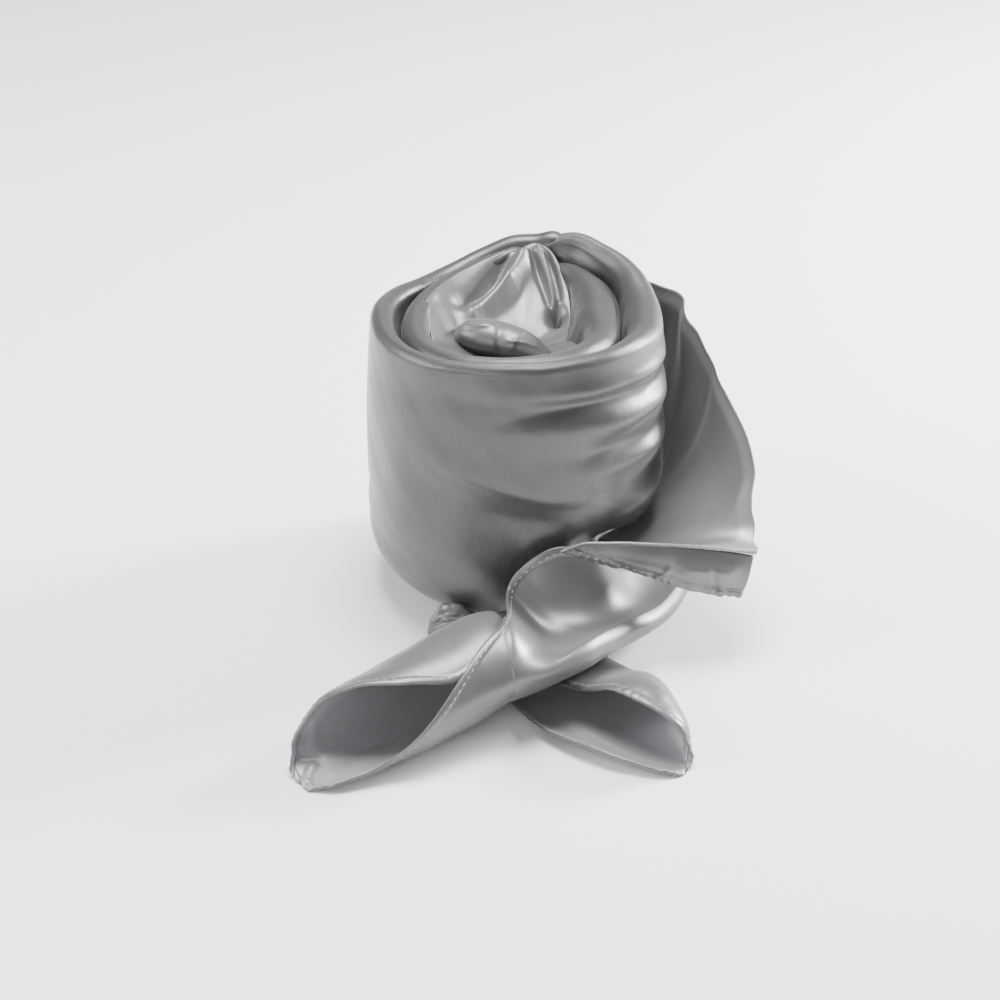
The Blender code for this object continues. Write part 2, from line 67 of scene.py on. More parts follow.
# How light each side of the cloth is against the set colour: above 1 this is painted light and below 1
# painted shade. It is one satin: these bring its tones near the photo's in this studio light, and were
# not measured on any cloth.
COIL_PAINTED_SHADE = 0.62
SINGLE_PAINTED_LIGHT = 1.15
CORNER_INSIDE_PAINTED_LIGHT = 2.9
PETAL_INSIDE_PAINTED_LIGHT = 2.3
PETAL_OUTSIDE_PAINTED_LIGHT = 1.1
STITCH_FROM_FOLD = 0.4
CLOTH_CLEAR = 0.02
FRONT_EASE_AT = 84.5
FRONT_EASE_REACH = 6.0
FRONT_EASE_ROUNDS = 130
BAND_RADIUS = 50.0
FLAP_BEHIND = 0.8
HEM_DROOP = (-2.6, -0.8, -2.6)
FLAP_BELOW = 0.9
HEM_STEPS = (0.0, 0.35, 1.0, 1.9, 2.5, 2.9, 3.4, 4.6)

Wall = namedtuple("Wall", "deg radius rim_in foot foot_in rim roll tuck")
Drag = namedtuple("Drag", "deg height reach spread depth slope")
Tail = namedtuple(
    "Tail",
    "along x y lift half_width half_height far_deg near_deg bowl rim_h rim_z dip",
)
Petal = namedtuple("Petal", "step inner_x inner_y inner_z lip_x lip_y lip_z out down front")
Flap = namedtuple("Flap", "step top_x top_y top_z hem_x hem_y hem_z lean")
Edge = namedtuple("Edge", "deg reach height")
Layer = namedtuple("Layer", "deg foot_reach step_low step_high")
# A fold from one place on a sheet to another, with its rise and its width on each side.
Fold = namedtuple("Fold", "u v end_u end_v rise over under bow")
# A pleat of the heart along a bent line, from its high end to its low end.
Pleat = namedtuple("Pleat", "x y mid_x mid_y end_x end_y rise mid_rise end_rise width")

OUTER_WRAP = (
    Wall(74.0, 53.0, 2.0, 12.0, 6.0, 105.0, 3.8, 26.0),
    Wall(82.0, 52.8, 1.8, 11.0, 7.0, 103.8, 4.2, 26.0),
    Wall(92.0, 52.5, 1.5, 10.0, 7.5, 103.0, 4.2, 26.0),
    Wall(105.0, 51.5, 1.5, 9.0, 8.0, 99.5, 4.2, 26.0),
    Wall(120.0, 51.0, 2.0, 8.0, 8.0, 96.0, 4.2, 26.0),
    Wall(137.0, 50.5, 2.5, 7.0, 8.0, 95.0, 4.0, 26.0),
    Wall(157.0, 50.5, 2.5, 6.0, 8.0, 96.5, 3.8, 26.0),
    Wall(180.0, 50.5, 2.5, 6.0, 8.0, 98.0, 3.6, 26.0),
    Wall(210.0, 50.6, 3.5, 6.5, 8.0, 97.0, 3.4, 26.0),
    Wall(240.0, 50.6, 4.5, 7.0, 8.0, 98.0, 3.0, 26.0),
    Wall(265.0, 50.5, 5.0, 9.0, 8.0, 99.5, 3.0, 26.0),
    Wall(280.0, 50.3, 4.8, 16.0, 7.0, 99.5, 3.1, 26.0),
    Wall(293.0, 50.0, 4.6, 31.0, 5.0, 99.5, 3.2, 26.0),
    Wall(303.0, 50.0, 4.4, 35.0, 4.0, 99.3, 3.4, 26.0),
    Wall(325.0, 49.5, 3.5, 33.5, 3.2, 98.5, 3.9, 26.0),
    Wall(345.0, 49.0, 2.0, 32.5, 3.0, 97.5, 5.2, 26.0),
)
RIGHT_SHOULDER = (
    Wall(346.0, 49.0, 2.0, 32.5, 3.0, 97.5, 5.3, 22.0),
    Wall(360.0, 48.5, 1.0, 32.5, 3.2, 97.6, 6.3, 22.0),
    Wall(375.0, 48.5, 0.5, 34.0, 4.0, 99.0, 5.9, 22.0),
    Wall(390.0, 49.2, 0.0, 34.0, 4.0, 101.5, 5.0, 22.0),
    Wall(410.0, 50.5, 0.0, 32.0, 4.0, 104.0, 4.2, 24.0),
    Wall(432.0, 50.5, 0.0, 30.0, 4.0, 104.5, 3.6, 24.0),
)
SECOND_TURN = (
    Wall(91.0, 41.8, 0.0, 74.0, 0.0, 102.0, 2.2, 20.0),
    Wall(100.0, 41.2, 0.0, 74.0, 0.0, 101.0, 3.4, 20.0),
    Wall(112.0, 40.2, 0.0, 74.0, 0.0, 99.5, 4.2, 20.0),
    Wall(130.0, 38.9, 0.0, 74.0, 0.0, 97.8, 4.4, 20.0),
    Wall(150.0, 37.8, 0.0, 74.0, 0.0, 96.8, 4.5, 20.0),
    Wall(180.0, 37.8, 0.0, 74.0, 0.0, 95.8, 4.6, 20.0),
    Wall(210.0, 38.7, 0.0, 74.0, 0.0, 95.2, 4.6, 20.0),
    Wall(240.0, 38.9, 0.0, 74.0, 0.0, 96.0, 4.3, 20.0),
    Wall(270.0, 38.4, 0.0, 74.0, 0.0, 97.3, 4.2, 20.0),
    Wall(300.0, 38.2, 0.0, 74.0, 0.0, 97.5, 4.6, 20.0),
    Wall(320.0, 36.7, 0.0, 74.0, 0.0, 97.2, 5.2, 20.0),
    Wall(340.0, 34.6, 0.0, 74.0, 0.0, 97.0, 5.8, 20.0),
)
INNER_LOBE = (
    Wall(341.0, 34.5, 0.0, 74.0, 0.0, 97.0, 5.9, 17.0),
    Wall(355.0, 33.4, 0.0, 74.0, 0.0, 97.2, 6.8, 17.0),
    Wall(368.0, 34.0, 0.0, 74.0, 0.0, 97.8, 7.6, 17.0),
    Wall(382.0, 36.2, 0.0, 74.0, 0.0, 98.4, 8.0, 17.0),
    Wall(396.0, 39.0, 0.0, 74.0, 0.0, 98.8, 8.0, 17.0),
    Wall(408.0, 40.6, 0.0, 74.0, 0.0, 98.6, 6.8, 16.0),
    Wall(416.0, 41.2, 0.0, 74.0, 0.0, 98.6, 5.2, 14.0),
    Wall(424.0, 41.2, 0.0, 74.0, 0.0, 98.4, 3.6, 12.0),
    Wall(431.0, 40.6, 0.0, 76.0, 0.0, 97.4, 2.0, 9.0),
)
DRAG_FOLDS = (
    Drag(334.0, 87.0, 44.0, 3.4, 1.6, 0.05),
    Drag(330.0, 81.8, 58.0, 3.0, -1.5, 0.08),
    Drag(334.0, 75.0, 42.0, 3.8, 1.9, 0.05),
    Drag(334.0, 66.0, 36.0, 3.4, -1.5, 0.06),
    Drag(334.0, 59.5, 30.0, 3.2, 1.5, 0.05),
    Drag(334.0, 51.5, 28.0, 3.0, -1.3, 0.04),
    Drag(334.0, 43.0, 28.0, 4.5, 1.6, 0.0),
)
FRONT_TAIL = (
    Tail(0.0, -64.5, -118.0, 0.0, 5.5, 2.8, 90.0, -40.0, 0.0, 0.0, 0.0, 0.0),
    Tail(6.0, -61.0, -115.3, 0.0, 10.8, 7.5, 122.0, -44.0, 0.0, 0.0, 0.0, 0.0),
    Tail(15.0, -54.3, -110.8, 0.0, 14.0, 11.8, 141.0, -49.0, 0.0, 0.0, 0.0, 0.0),
    Tail(26.0, -45.7, -104.0, 0.0, 15.2, 13.2, 165.0, -66.0, 0.0, 0.0, 0.0, 0.0),
    Tail(35.0, -38.5, -98.7, 0.0, 15.9, 13.7, 193.0, -90.0, 0.0, 0.0, 0.0, 0.0),
    Tail(43.0, -32.0, -94.0, 0.4, 16.5, 13.9, 211.0, -112.0, 0.0, 0.0, 0.0, 0.0),
    Tail(51.0, -25.2, -89.3, 1.2, 17.2, 14.0, 229.0, -133.0, 0.0, 0.0, 0.0, 0.0),
    Tail(62.0, -16.5, -83.4, 3.4, 17.8, 13.8, 224.0, -153.0, 0.0, 0.0, 0.0, 0.0),
    Tail(71.0, -8.5, -79.0, 6.0, 18.3, 13.0, 204.0, -167.0, 0.0, 0.0, 31.0, -3.0),
    Tail(80.0, 0.0, -76.3, 8.0, 18.8, 11.2, 152.0, -180.0, 1.0, 6.5, 30.0, -3.0),
    Tail(84.0, 3.2, -74.3, 8.8, 18.8, 10.2, 124.0, -186.0, 1.0, 13.0, 28.5, 1.0),
    Tail(88.0, 6.5, -72.0, 9.6, 18.8, 9.2, 84.0, -190.0, 1.0, 17.6, 27.2, 5.0),
    Tail(98.0, 14.0, -64.8, 10.4, 17.4, 8.0, 60.0, -190.0, 1.0, 18.4, 34.5, 6.5),
    Tail(105.0, 19.4, -58.8, 9.6, 16.2, 7.5, 55.0, -190.0, 1.0, 12.6, 40.4, 7.0),
    Tail(112.0, 25.0, -53.0, 8.6, 15.4, 7.2, 52.0, -190.0, 1.0, 6.6, 39.4, 6.5),
    Tail(130.0, 36.6, -38.6, 5.5, 14.0, 6.3, 50.0, -190.0, 1.0, 6.0, 25.0, 3.0),
    Tail(150.0, 46.5, -21.0, 3.0, 11.0, 6.0, 60.0, -190.0, 1.0, 5.0, 17.0, 1.0),
)
REAR_TAIL = (
    Tail(0.0, 49.8, -111.8, 0.0, 3.8, 2.5, 120.0, -40.0, 0.0, 0.0, 0.0, 0.0),
    Tail(6.0, 46.4, -109.4, 0.0, 8.3, 6.5, 153.0, -50.0, 0.0, 0.0, 0.0, 0.0),
    Tail(16.0, 39.2, -102.6, 0.0, 13.8, 9.0, 176.0, -60.0, 0.0, 0.0, 0.0, 0.0),
    Tail(33.0, 28.0, -90.2, 0.0, 19.8, 9.0, 189.0, -64.0, 0.0, 0.0, 0.0, 0.0),
    Tail(40.0, 23.2, -84.6, 0.0, 21.2, 7.0, 193.0, -64.0, 0.0, 0.0, 0.0, 0.0),
    Tail(48.0, 17.5, -77.0, 0.0, 20.8, 5.2, 196.0, -64.0, 0.0, 0.0, 0.0, 0.0),
    Tail(62.0, 7.0, -65.0, 0.0, 18.5, 5.35, 198.0, -64.0, 0.0, 0.0, 0.0, 0.0),
    Tail(78.0, -5.0, -52.0, 0.0, 13.0, 4.0, 198.0, -70.0, 0.0, 0.0, 0.0, 0.0),
)
TUCKED_END = (
    Tail(0.0, -28.8, -39.8, 0.0, 4.2, 3.6, -20.0, -330.0, 0.0, 0.0, 0.0, 0.0),
    Tail(5.0, -24.8, -40.8, 0.0, 6.6, 5.8, -20.0, -335.0, 0.0, 0.0, 0.0, 0.0),
    Tail(10.0, -20.4, -42.4, 0.0, 7.0, 6.6, -20.0, -335.0, 0.0, 0.0, 0.0, 0.0),
    Tail(16.0, -14.8, -44.0, 0.0, 5.4, 5.8, -20.0, -330.0, 0.0, 0.0, 0.0, 0.0),
)
PETAL = (
    Petal(0.0, 14.6, 46.6, 12.0, 16.9, 54.3, 97.0, 3.0, 0.0, 0.0),
    Petal(1.0, 27.6, 40.2, 14.0, 33.4, 47.0, 92.0, 3.0, 0.0, 0.0),
    Petal(2.0, 37.0, 32.0, 17.0, 45.0, 37.0, 91.6, 3.0, 0.0, 0.0),
    Petal(3.0, 42.0, 22.0, 21.0, 53.2, 26.6, 92.6, 3.0, 0.0, 0.0),
    Petal(4.0, 43.0, 14.0, 22.0, 56.8, 16.0, 87.0, 4.0, 2.0, 0.0),
    Petal(5.0, 41.8, 6.5, 23.0, 62.0, 7.0, 79.0, 5.0, 3.0, 0.0),
    Petal(6.0, 38.8, -2.0, 24.0, 68.5, -3.5, 69.5, 6.0, 4.0, 0.0),
    Petal(7.0, 34.2, -11.5, 25.5, 74.0, -13.0, 60.0, 6.0, 5.0, 0.0),
    Petal(8.0, 27.0, -22.0, 27.0, 75.8, -26.0, 49.5, 4.0, 5.0, 0.0),
    Petal(9.0, 24.0, -38.0, 32.0, 75.5, -36.0, 39.5, 2.0, 3.0, 1.0),
    Petal(10.0, 15.5, -51.0, 43.0, 75.8, -44.0, 34.3, 0.0, -3.6, 3.0),
)
FLAP = (
    Flap(0.0, 75.0, -43.4, 31.2, 71.3, -44.0, 18.1, 2.5),
    Flap(1.0, 67.0, -45.6, 33.8, 63.3, -46.0, 20.0, 3.0),
    Flap(2.0, 57.0, -47.6, 36.2, 54.7, -48.0, 23.4, 3.0),
    Flap(3.0, 48.0, -48.9, 37.6, 46.5, -49.0, 26.9, 2.5),
    Flap(4.0, 39.0, -49.7, 38.7, 38.3, -50.0, 31.0, 2.0),
    Flap(5.0, 30.0, -50.4, 39.2, 29.8, -50.8, 33.8, 1.0),
    Flap(6.0, 22.0, -50.6, 39.3, 21.5, -51.0, 36.6, 0.5),
    Flap(7.0, 14.6, -51.0, 40.4, 14.2, -51.4, 39.4, 0.1),
)
HEART_EDGE = (
    Edge(0.0, 17.8, 86.0),
    Edge(8.0, 16.6, 85.0),
    Edge(22.0, 17.9, 85.5),
    Edge(36.0, 21.2, 86.5),
    Edge(47.0, 25.8, 88.4),
    Edge(54.0, 29.4, 91.0),
    Edge(61.0, 33.4, 94.0),
    Edge(68.0, 37.6, 98.0),
    Edge(76.0, 41.4, 102.0),
    Edge(82.0, 41.2, 103.2),
    Edge(88.0, 39.2, 102.0),
    Edge(94.0, 36.4, 100.5),
    Edge(112.0, 31.2, 96.6),
    Edge(130.0, 29.6, 94.0),
    Edge(150.0, 28.4, 92.0),
    Edge(180.0, 27.8, 89.0),
    Edge(210.0, 28.6, 86.0),
    Edge(240.0, 29.4, 84.5),
    Edge(270.0, 29.2, 84.0),
    Edge(300.0, 27.8, 84.6),
    Edge(320.0, 25.2, 86.0),
    Edge(340.0, 21.6, 86.6),
    Edge(360.0, 17.8, 86.0),
)
# How far the heart's cloth lies over the second turn's rim, by direction.
HEART_OVER = ((90.0, 0.0), (97.0, 1.0), (158.0, 1.0), (188.0, 0.0))
# The part of that rim's roll that the cloth reaches across.
OVER_ROLL = 1.3
HEART_LOW = 82.5
HEART_CURL = (
    Tail(0.0, -20.5, 8.2, 83.4, 2.8, 2.8, -30.0, -330.0, 0.0, 0.0, 0.0, 0.0),
    Tail(3.0, -18.0, 7.4, 82.6, 4.8, 4.4, -30.0, -330.0, 0.0, 0.0, 0.0, 0.0),
    Tail(8.0, -13.0, 5.8, 82.0, 6.6, 5.4, -30.0, -330.0, 0.0, 0.0, 0.0, 0.0),
    Tail(16.0, -5.2, 3.4, 81.8, 6.8, 5.3, -30.0, -330.0, 0.0, 0.0, 0.0, 0.0),
    Tail(24.0, 2.6, 0.9, 80.8, 6.0, 4.6, -30.0, -330.0, 0.0, 0.0, 0.0, 0.0),
    Tail(31.0, 9.6, -2.0, 77.6, 4.4, 3.6, -30.0, -330.0, 0.0, 0.0, 0.0, 0.0),
)
CORE = (
    Layer(0.0, 37.0, 37.0, 46.0),
    Layer(45.0, 38.0, 36.0, 46.0),
    Layer(75.0, 40.0, 14.0, 34.0),
    Layer(120.0, 39.0, 6.0, 22.0),
    Layer(180.0, 36.0, 8.0, 24.0),
    Layer(215.0, 30.0, 12.0, 30.0),
    Layer(250.0, 25.0, 16.0, 36.0),
    Layer(280.0, 28.0, 28.0, 44.0),
    Layer(300.0, 33.0, 37.0, 46.0),
    Layer(320.0, 33.5, 37.0, 46.0),
    Layer(340.0, 34.0, 37.0, 46.0),
    Layer(360.0, 37.0, 37.0, 46.0),
)
# Where the outer turn begins at the back, tapered to a small point.
OUTER_START = (
    Wall(64.0, 49.6, 1.6, 34.0, 3.0, 99.0, 1.2, 4.0),
    Wall(69.0, 51.2, 1.8, 24.0, 4.5, 103.0, 2.4, 12.0),
)
# Where the shoulder ends, tucked in behind the start of the outer turn.
SHOULDER_END = (
    Wall(440.0, 47.0, 0.0, 40.0, 3.0, 101.0, 3.0, 20.0),
    Wall(446.0, 44.0, 0.0, 50.0, 2.0, 97.0, 2.0, 12.0),
)
# Where the second turn comes out from under the shoulder's rim.
SECOND_START = (
    Wall(80.0, 43.2, 0.0, 74.0, 0.0, 99.0, 1.6, 14.0),
)
STUDIO_LIGHTS = (
    ("key_light", (0.80, 0.42, 0.36), (0.20, 0.30), 34.0, (1.0, 1.0, 0.98)),
    ("left_light", (-0.80, -0.05, 0.45), (0.35, 0.45), 7.0, (1.0, 1.0, 1.0)),
    ("top_light", (0.0, 0.20, 0.95), (0.50, 0.40), 20.0, (1.0, 1.0, 1.0)),
    ("front_light", (-0.45, -0.85, 0.42), (0.50, 0.40), 3.0, (1.0, 1.0, 1.0)),
)
WORLD_TINT = (1.0, 1.0, 1.0)
WORLD_STRENGTH = 0.45
CAMERA_SHIFT = (-0.019, -0.030)

# Folds of the outer turn: direction in degrees and height in millimetres.
OUTER_FOLDS = (
    Fold(330.0, 84.5, 262.0, 81.0, -0.9, 3.2, 2.2, 2.0),
    Fold(338.0, 70.5, 296.0, 68.0, -0.5, 2.4, 2.0, 0.5),
    Fold(232.0, 68.0, 300.0, 52.0, 0.8, 6.5, 2.2, -2.0),
    Fold(226.0, 58.0, 288.0, 45.0, -0.9, 4.0, 8.0, -1.0),
    Fold(210.0, 38.0, 268.0, 27.0, 0.6, 7.0, 4.5, 1.0),
    Fold(194.0, 82.0, 250.0, 88.0, -0.5, 6.0, 5.0, 0.0),
    Fold(186.0, 26.0, 232.0, 21.0, -0.6, 4.0, 5.0, 1.0),
    Fold(96.0, 78.0, 172.0, 64.0, 1.1, 6.0, 2.8, -2.0),
    Fold(84.0, 52.0, 140.0, 41.0, 1.2, 5.5, 2.8, -1.0),
    Fold(120.0, 30.0, 190.0, 38.0, -0.8, 4.0, 4.0, 1.0),
    Fold(88.0, 24.0, 128.0, 20.0, 0.8, 4.0, 3.0, 0.0),
    Fold(362.0, 66.0, 408.0, 82.0, 1.2, 5.0, 2.8, 1.0),
    Fold(366.0, 46.0, 420.0, 52.0, 1.0, 5.0, 3.0, -1.0),
)
# How far the inner ply of a turn leans inward at its lower edge, by direction.
OUTER_LEAN = ((64.0, 0.0), (100.0, 0.8), (140.0, 1.8), (180.0, 2.8), (205.0, 1.4), (345.0, 0.2))
OUTER_LEAN += ((360.0, 1.2), (405.0, 1.2), (420.0, 5.0), (446.0, 4.0))
SECOND_LEAN = ((80.0, 1.0), (160.0, 2.0), (300.0, 1.5), (341.0, 2.5), (360.0, 4.0))
SECOND_LEAN += ((375.0, 5.0), (396.0, 4.5), (412.0, 2.0), (424.0, 0.5))
SECOND_FOLDS = (
    Fold(122.0, 92.0, 176.0, 88.0, -0.6, 3.0, 3.0, 0.0),
    Fold(250.0, 93.0, 300.0, 91.5, 0.4, 2.5, 2.0, 0.0),
    Fold(372.0, 92.0, 404.0, 88.0, -0.6, 3.0, 3.0, 1.0),
)
# Folds of the petal: steps from the back to the hem, and parts from its foot to its lip.
PETAL_FOLDS = (
    Fold(3.2, 0.98, 5.0, 0.66, 1.8, 0.45, 0.28, 0.0),
    Fold(3.9, 1.0, 5.4, 0.70, -1.6, 0.35, 0.40, 0.0),
    Fold(6.2, 0.30, 8.8, 0.52, 0.9, 0.50, 0.45, 0.1),
    Fold(7.8, 0.90, 9.7, 0.84, 2.0, 0.35, 0.50, 0.0),
    Fold(8.6, 0.99, 9.9, 0.95, -1.2, 0.30, 0.30, 0.0),
    Fold(4.8, 0.92, 7.4, 0.70, 0.9, 0.35, 0.50, 0.0),
    Fold(1.6, 0.95, 2.6, 0.35, -1.2, 0.40, 0.50, 0.0),
    Fold(4.6, 0.30, 7.2, 0.16, -0.8, 0.40, 0.40, 0.0),
)
# Folds of the flap: steps from its right end, and parts from the petal's hem down.
FLAP_FOLDS = (
    Fold(0.5, 0.35, 2.6, 0.42, 1.5, 1.6, 1.6, 0.0),
    Fold(0.0, 0.80, 2.8, 0.86, -1.0, 0.9, 0.9, 0.0),
    Fold(2.6, 0.60, 5.0, 0.62, 0.8, 1.4, 1.4, 0.0),
    Fold(1.0, 0.98, 1.5, 0.30, -0.7, 0.9, 0.9, 0.0),
    Fold(3.4, 1.00, 3.0, 0.50, 0.7, 0.8, 0.8, 0.0),
)
# Folds of the rolled corners: distance from the tip and degrees round the roll.
FRONT_FOLDS = (
    Fold(8.0, 40.0, 34.0, 96.0, -0.8, 4.0, 4.0, 4.0),
    Fold(14.0, -20.0, 46.0, -78.0, 0.7, 6.0, 5.0, 0.0),
    Fold(58.0, -104.0, 88.0, -132.0, 0.9, 5.0, 6.0, 2.0),
    Fold(60.0, -62.0, 104.0, -92.0, -0.8, 6.0, 6.0, 2.0),
    Fold(30.0, 128.0, 66.0, 172.0, -0.6, 5.0, 5.0, 2.0),
    Fold(2.0, 60.0, 12.0, 20.0, 1.0, 2.2, 1.8, 1.0),
    Fold(1.5, -10.0, 11.0, 30.0, -0.9, 1.8, 2.0, 1.0),
    Fold(3.0, 96.0, 9.0, 60.0, -0.8, 1.8, 2.0, 0.0),
    Fold(3.5, -36.0, 12.0, -8.0, 0.8, 1.6, 1.8, 0.0),
)
REAR_FOLDS = (
    Fold(12.0, 130.0, 44.0, 172.0, 0.7, 4.0, 4.0, 2.0),
    Fold(18.0, 60.0, 60.0, 110.0, -0.8, 6.0, 6.0, 3.0),
    Fold(10.0, -10.0, 46.0, -38.0, 0.7, 4.0, 3.0, 1.0),
    Fold(3.0, 40.0, 12.0, 90.0, -0.7, 2.0, 2.0, 1.0),
)
TUCKED_FOLDS = (
    Fold(0.0, -70.0, 16.0, -116.0, 1.3, 2.0, 1.6, 1.0),
    Fold(0.0, -128.0, 14.0, -156.0, -1.5, 1.8, 2.0, 1.0),
    Fold(1.0, -200.0, 15.0, -180.0, 1.2, 2.2, 1.8, 1.0),
    Fold(3.0, -70.0, 7.5, -200.0, -0.8, 1.4, 1.8, 0.0),
)
CURL_FOLDS = (
    Fold(17.0, -60.0, 14.5, -200.0, -0.6, 0.7, 2.2, 0.0),
    Fold(2.0, -150.0, 13.0, -165.0, 0.6, 1.6, 2.4, 1.0),
    Fold(18.0, -120.0, 29.0, -170.0, 0.5, 1.2, 1.6, 1.0),
    Fold(21.0, -100.0, 23.0, -210.0, 0.35, 0.8, 0.8, 0.0),
)
HEART_PLEATS = (
    Pleat(2.0, 44.0, -0.5, 29.0, -15.0, 16.5, 2.4, 5.5, 2.5, 3.0),
    Pleat(2.5, 47.0, 5.2, 40.0, 10.2, 26.0, -2.6, -2.8, -2.4, 1.4),
    Pleat(5.2, 46.0, 8.8, 38.0, 11.6, 26.0, 2.4, 2.8, 2.0, 1.2),
    Pleat(8.2, 46.5, 11.6, 38.0, 13.2, 28.0, -2.6, -2.6, -2.0, 1.2),
    Pleat(11.0, 45.5, 16.4, 38.5, 18.2, 31.0, 3.0, 3.0, 1.4, 2.0),
    Pleat(-2.5, 42.0, -6.0, 33.0, -19.0, 20.0, -0.6, -4.2, -1.8, 2.6),
    Pleat(12.8, 24.0, 12.9, 21.6, 12.3, 19.0, -2.0, -7.0, -5.0, 2.2),
    Pleat(16.0, 47.0, 22.0, 42.0, 26.0, 36.0, -1.0, -2.6, -2.0, 2.4),
    Pleat(-24.0, 16.0, -20.0, 8.0, -12.0, 0.0, -1.0, -2.4, -1.0, 4.0),
)
CORE_RINGS = (0.0, 2.0, 6.0, 11.0, 16.0, 21.0, 26.0, 31.0, 36.0, 41.0, 46.0, 54.0, 62.0, 66.4)


def smooth_rows(rows, places):
    """Read a table at the given places of its first column, with smooth slopes."""
    table = np.array(rows, float)
    key = table[:, 0]
    slope = np.gradient(table, key, axis=0)
    index = np.clip(np.searchsorted(key, places) - 1, 0, len(key) - 2)
    gap = (key[index + 1] - key[index])[:, None]
    part = (np.asarray(places) - key[index])[:, None] / gap
    square = part * part
    cube = square * part
    start = (2 * cube - 3 * square + 1) * table[index]
    start = start + (cube - 2 * square + part) * gap * slope[index]
    end = (3 * square - 2 * cube) * table[index + 1]
    end = end + (cube - square) * gap * slope[index + 1]
    return type(rows[0])(*(start + end).T)


def ease(value):
    """A soft step from 0 to 1."""
    part = np.clip(value, 0.0, 1.0)
    return part * part * (3.0 - 2.0 * part)


def drag_depth(deg, height, drags):
    """How far the drag folds push a wall out at one angle and height."""
    depth = 0.0
    for drag in drags:
        back = drag.deg - deg
        line = drag.height + drag.slope * back
        reach = np.where(back < 0.0, 0.5 * drag.reach, drag.reach)
        fade = np.exp(-((back / reach) ** 2))
        depth = depth + drag.depth * fade * np.exp(-(((height - line) / drag.spread) ** 2))
    return depth


def fold_depth(u, v, folds, u_scale=1.0, v_scale=1.0):
    """How far the folds of a table push a sheet out at the places u, v."""
    depth = np.zeros(np.broadcast(u, v).shape)
    for fold in folds:
        run_u = (fold.end_u - fold.u) * u_scale
        run_v = (fold.end_v - fold.v) * v_scale
        length = math.hypot(run_u, run_v)
        from_u = (u - fold.u) * u_scale
        from_v = (v - fold.v) * v_scale
        along = (from_u * run_u + from_v * run_v) / length**2
        side = (from_v * run_u - from_u * run_v) / length
        if run_u < 0.0:
            side = -side
        held = np.clip(along, 0.0, 1.0)
        side = side - fold.bow * 4.0 * held * (1.0 - held)
        width = np.where(side > 0.0, fold.over, fold.under)
        fade = ease((along + 0.12) / 0.35) * ease((1.12 - along) / 0.35)
        depth = depth + fold.rise * fade * np.exp(-((side / width) ** 2))
    return depth


def wander(u, v, size, seed):
    """Slow uneven waves between about -1 and 1 over the places u, v."""
    first = np.sin(u / size + 1.7 * np.sin(v / size * 0.6 + seed) + seed)
    second = np.sin(v / size * 0.9 + 1.3 * np.sin(u / size * 0.7 + 2.0 * seed))
    third = np.sin((u + v) / size * 1.9 + 3.0 * seed)
    return (first + second + 0.6 * third) / 2.6


def run_lengths(grid, axis):
    """Distance along each line of a grid, from its start."""
    step = np.linalg.norm(np.diff(grid, axis=axis), axis=-1)
    start = np.zeros_like(np.take(step, [0], axis=axis))
    return np.concatenate((start, np.cumsum(step, axis=axis)), axis=axis)


def outward(grid, flip=False):
    """Unit direction away from the cloth's outer face at each point of a grid."""
    normal = np.cross(np.gradient(grid, axis=0), np.gradient(grid, axis=1))
    size = np.maximum(np.linalg.norm(normal, axis=-1, keepdims=True), 1e-9)
    normal = normal / size
    return -normal if flip else normal


def hem_places(total, count, first, last):
    """Places along a line, closer together across the hem at a hemmed end."""
    squeeze = min(1.0, total / (4.0 * HEM_STEPS[-1]))
    steps = np.array(HEM_STEPS) * squeeze
    start = steps if first else np.zeros(1)
    end = total - steps[::-1] if last else np.array([total])
    inner = np.linspace(start[-1], end[0], count - len(start) - len(end) + 2)[1:-1]
    return np.concatenate((start, inner, end))


def respaced(grid, count, first, last):
    """The same sheet with its rows spaced by distance, and close together across a hem."""
    run = run_lengths(grid, 1)
    result = np.empty((len(grid), count, 3))
    for index, line in enumerate(grid):
        places = hem_places(run[index, -1], count, first, last)
        for axis in range(3):
            result[index, :, axis] = np.interp(places, run[index], line[:, axis])
    return result


class Hemmed:
    """Which edges of a sheet carry a rolled hem."""

    def __init__(self, start=False, end=False, low=False, high=False):
        self.start = start
        self.end = end
        self.low = low
        self.high = high

    def distance(self, grid):
        """Distance from the nearest hemmed edge, and the place along that edge."""
        across = run_lengths(grid, 1)
        along = run_lengths(grid, 0)
        options = []
        if self.low:
            options.append((across, along))
        if self.high:
            options.append((across[:, -1:] - across, along))
        if self.start:
            options.append((along, across))
        if self.end:
            options.append((along[-1:] - along, across))
        near = np.full(across.shape, 1e3)
        place = np.zeros(across.shape)
        for gap, edge in options:
            place = np.where(gap < near, edge, place)
            near = np.minimum(near, gap)
        return near, place


def sizes():
    """The sizes set in the panel."""
    return bpy.context.scene.rose_scarf_sizes


def colours():
    """The colours set in the panel."""
    return bpy.context.scene.rose_scarf_colours


def seam_inset():
    """How far inside an edge its stitches run, in millimetres."""
    return sizes().hem_width / MM - STITCH_FROM_FOLD


def to_world(points):
    """Millimetres round the rose's axis to metres in the frame."""
    return (np.asarray(points).reshape(-1, 3) + (ROSE_X, ROSE_Y, 0.0)) * MM


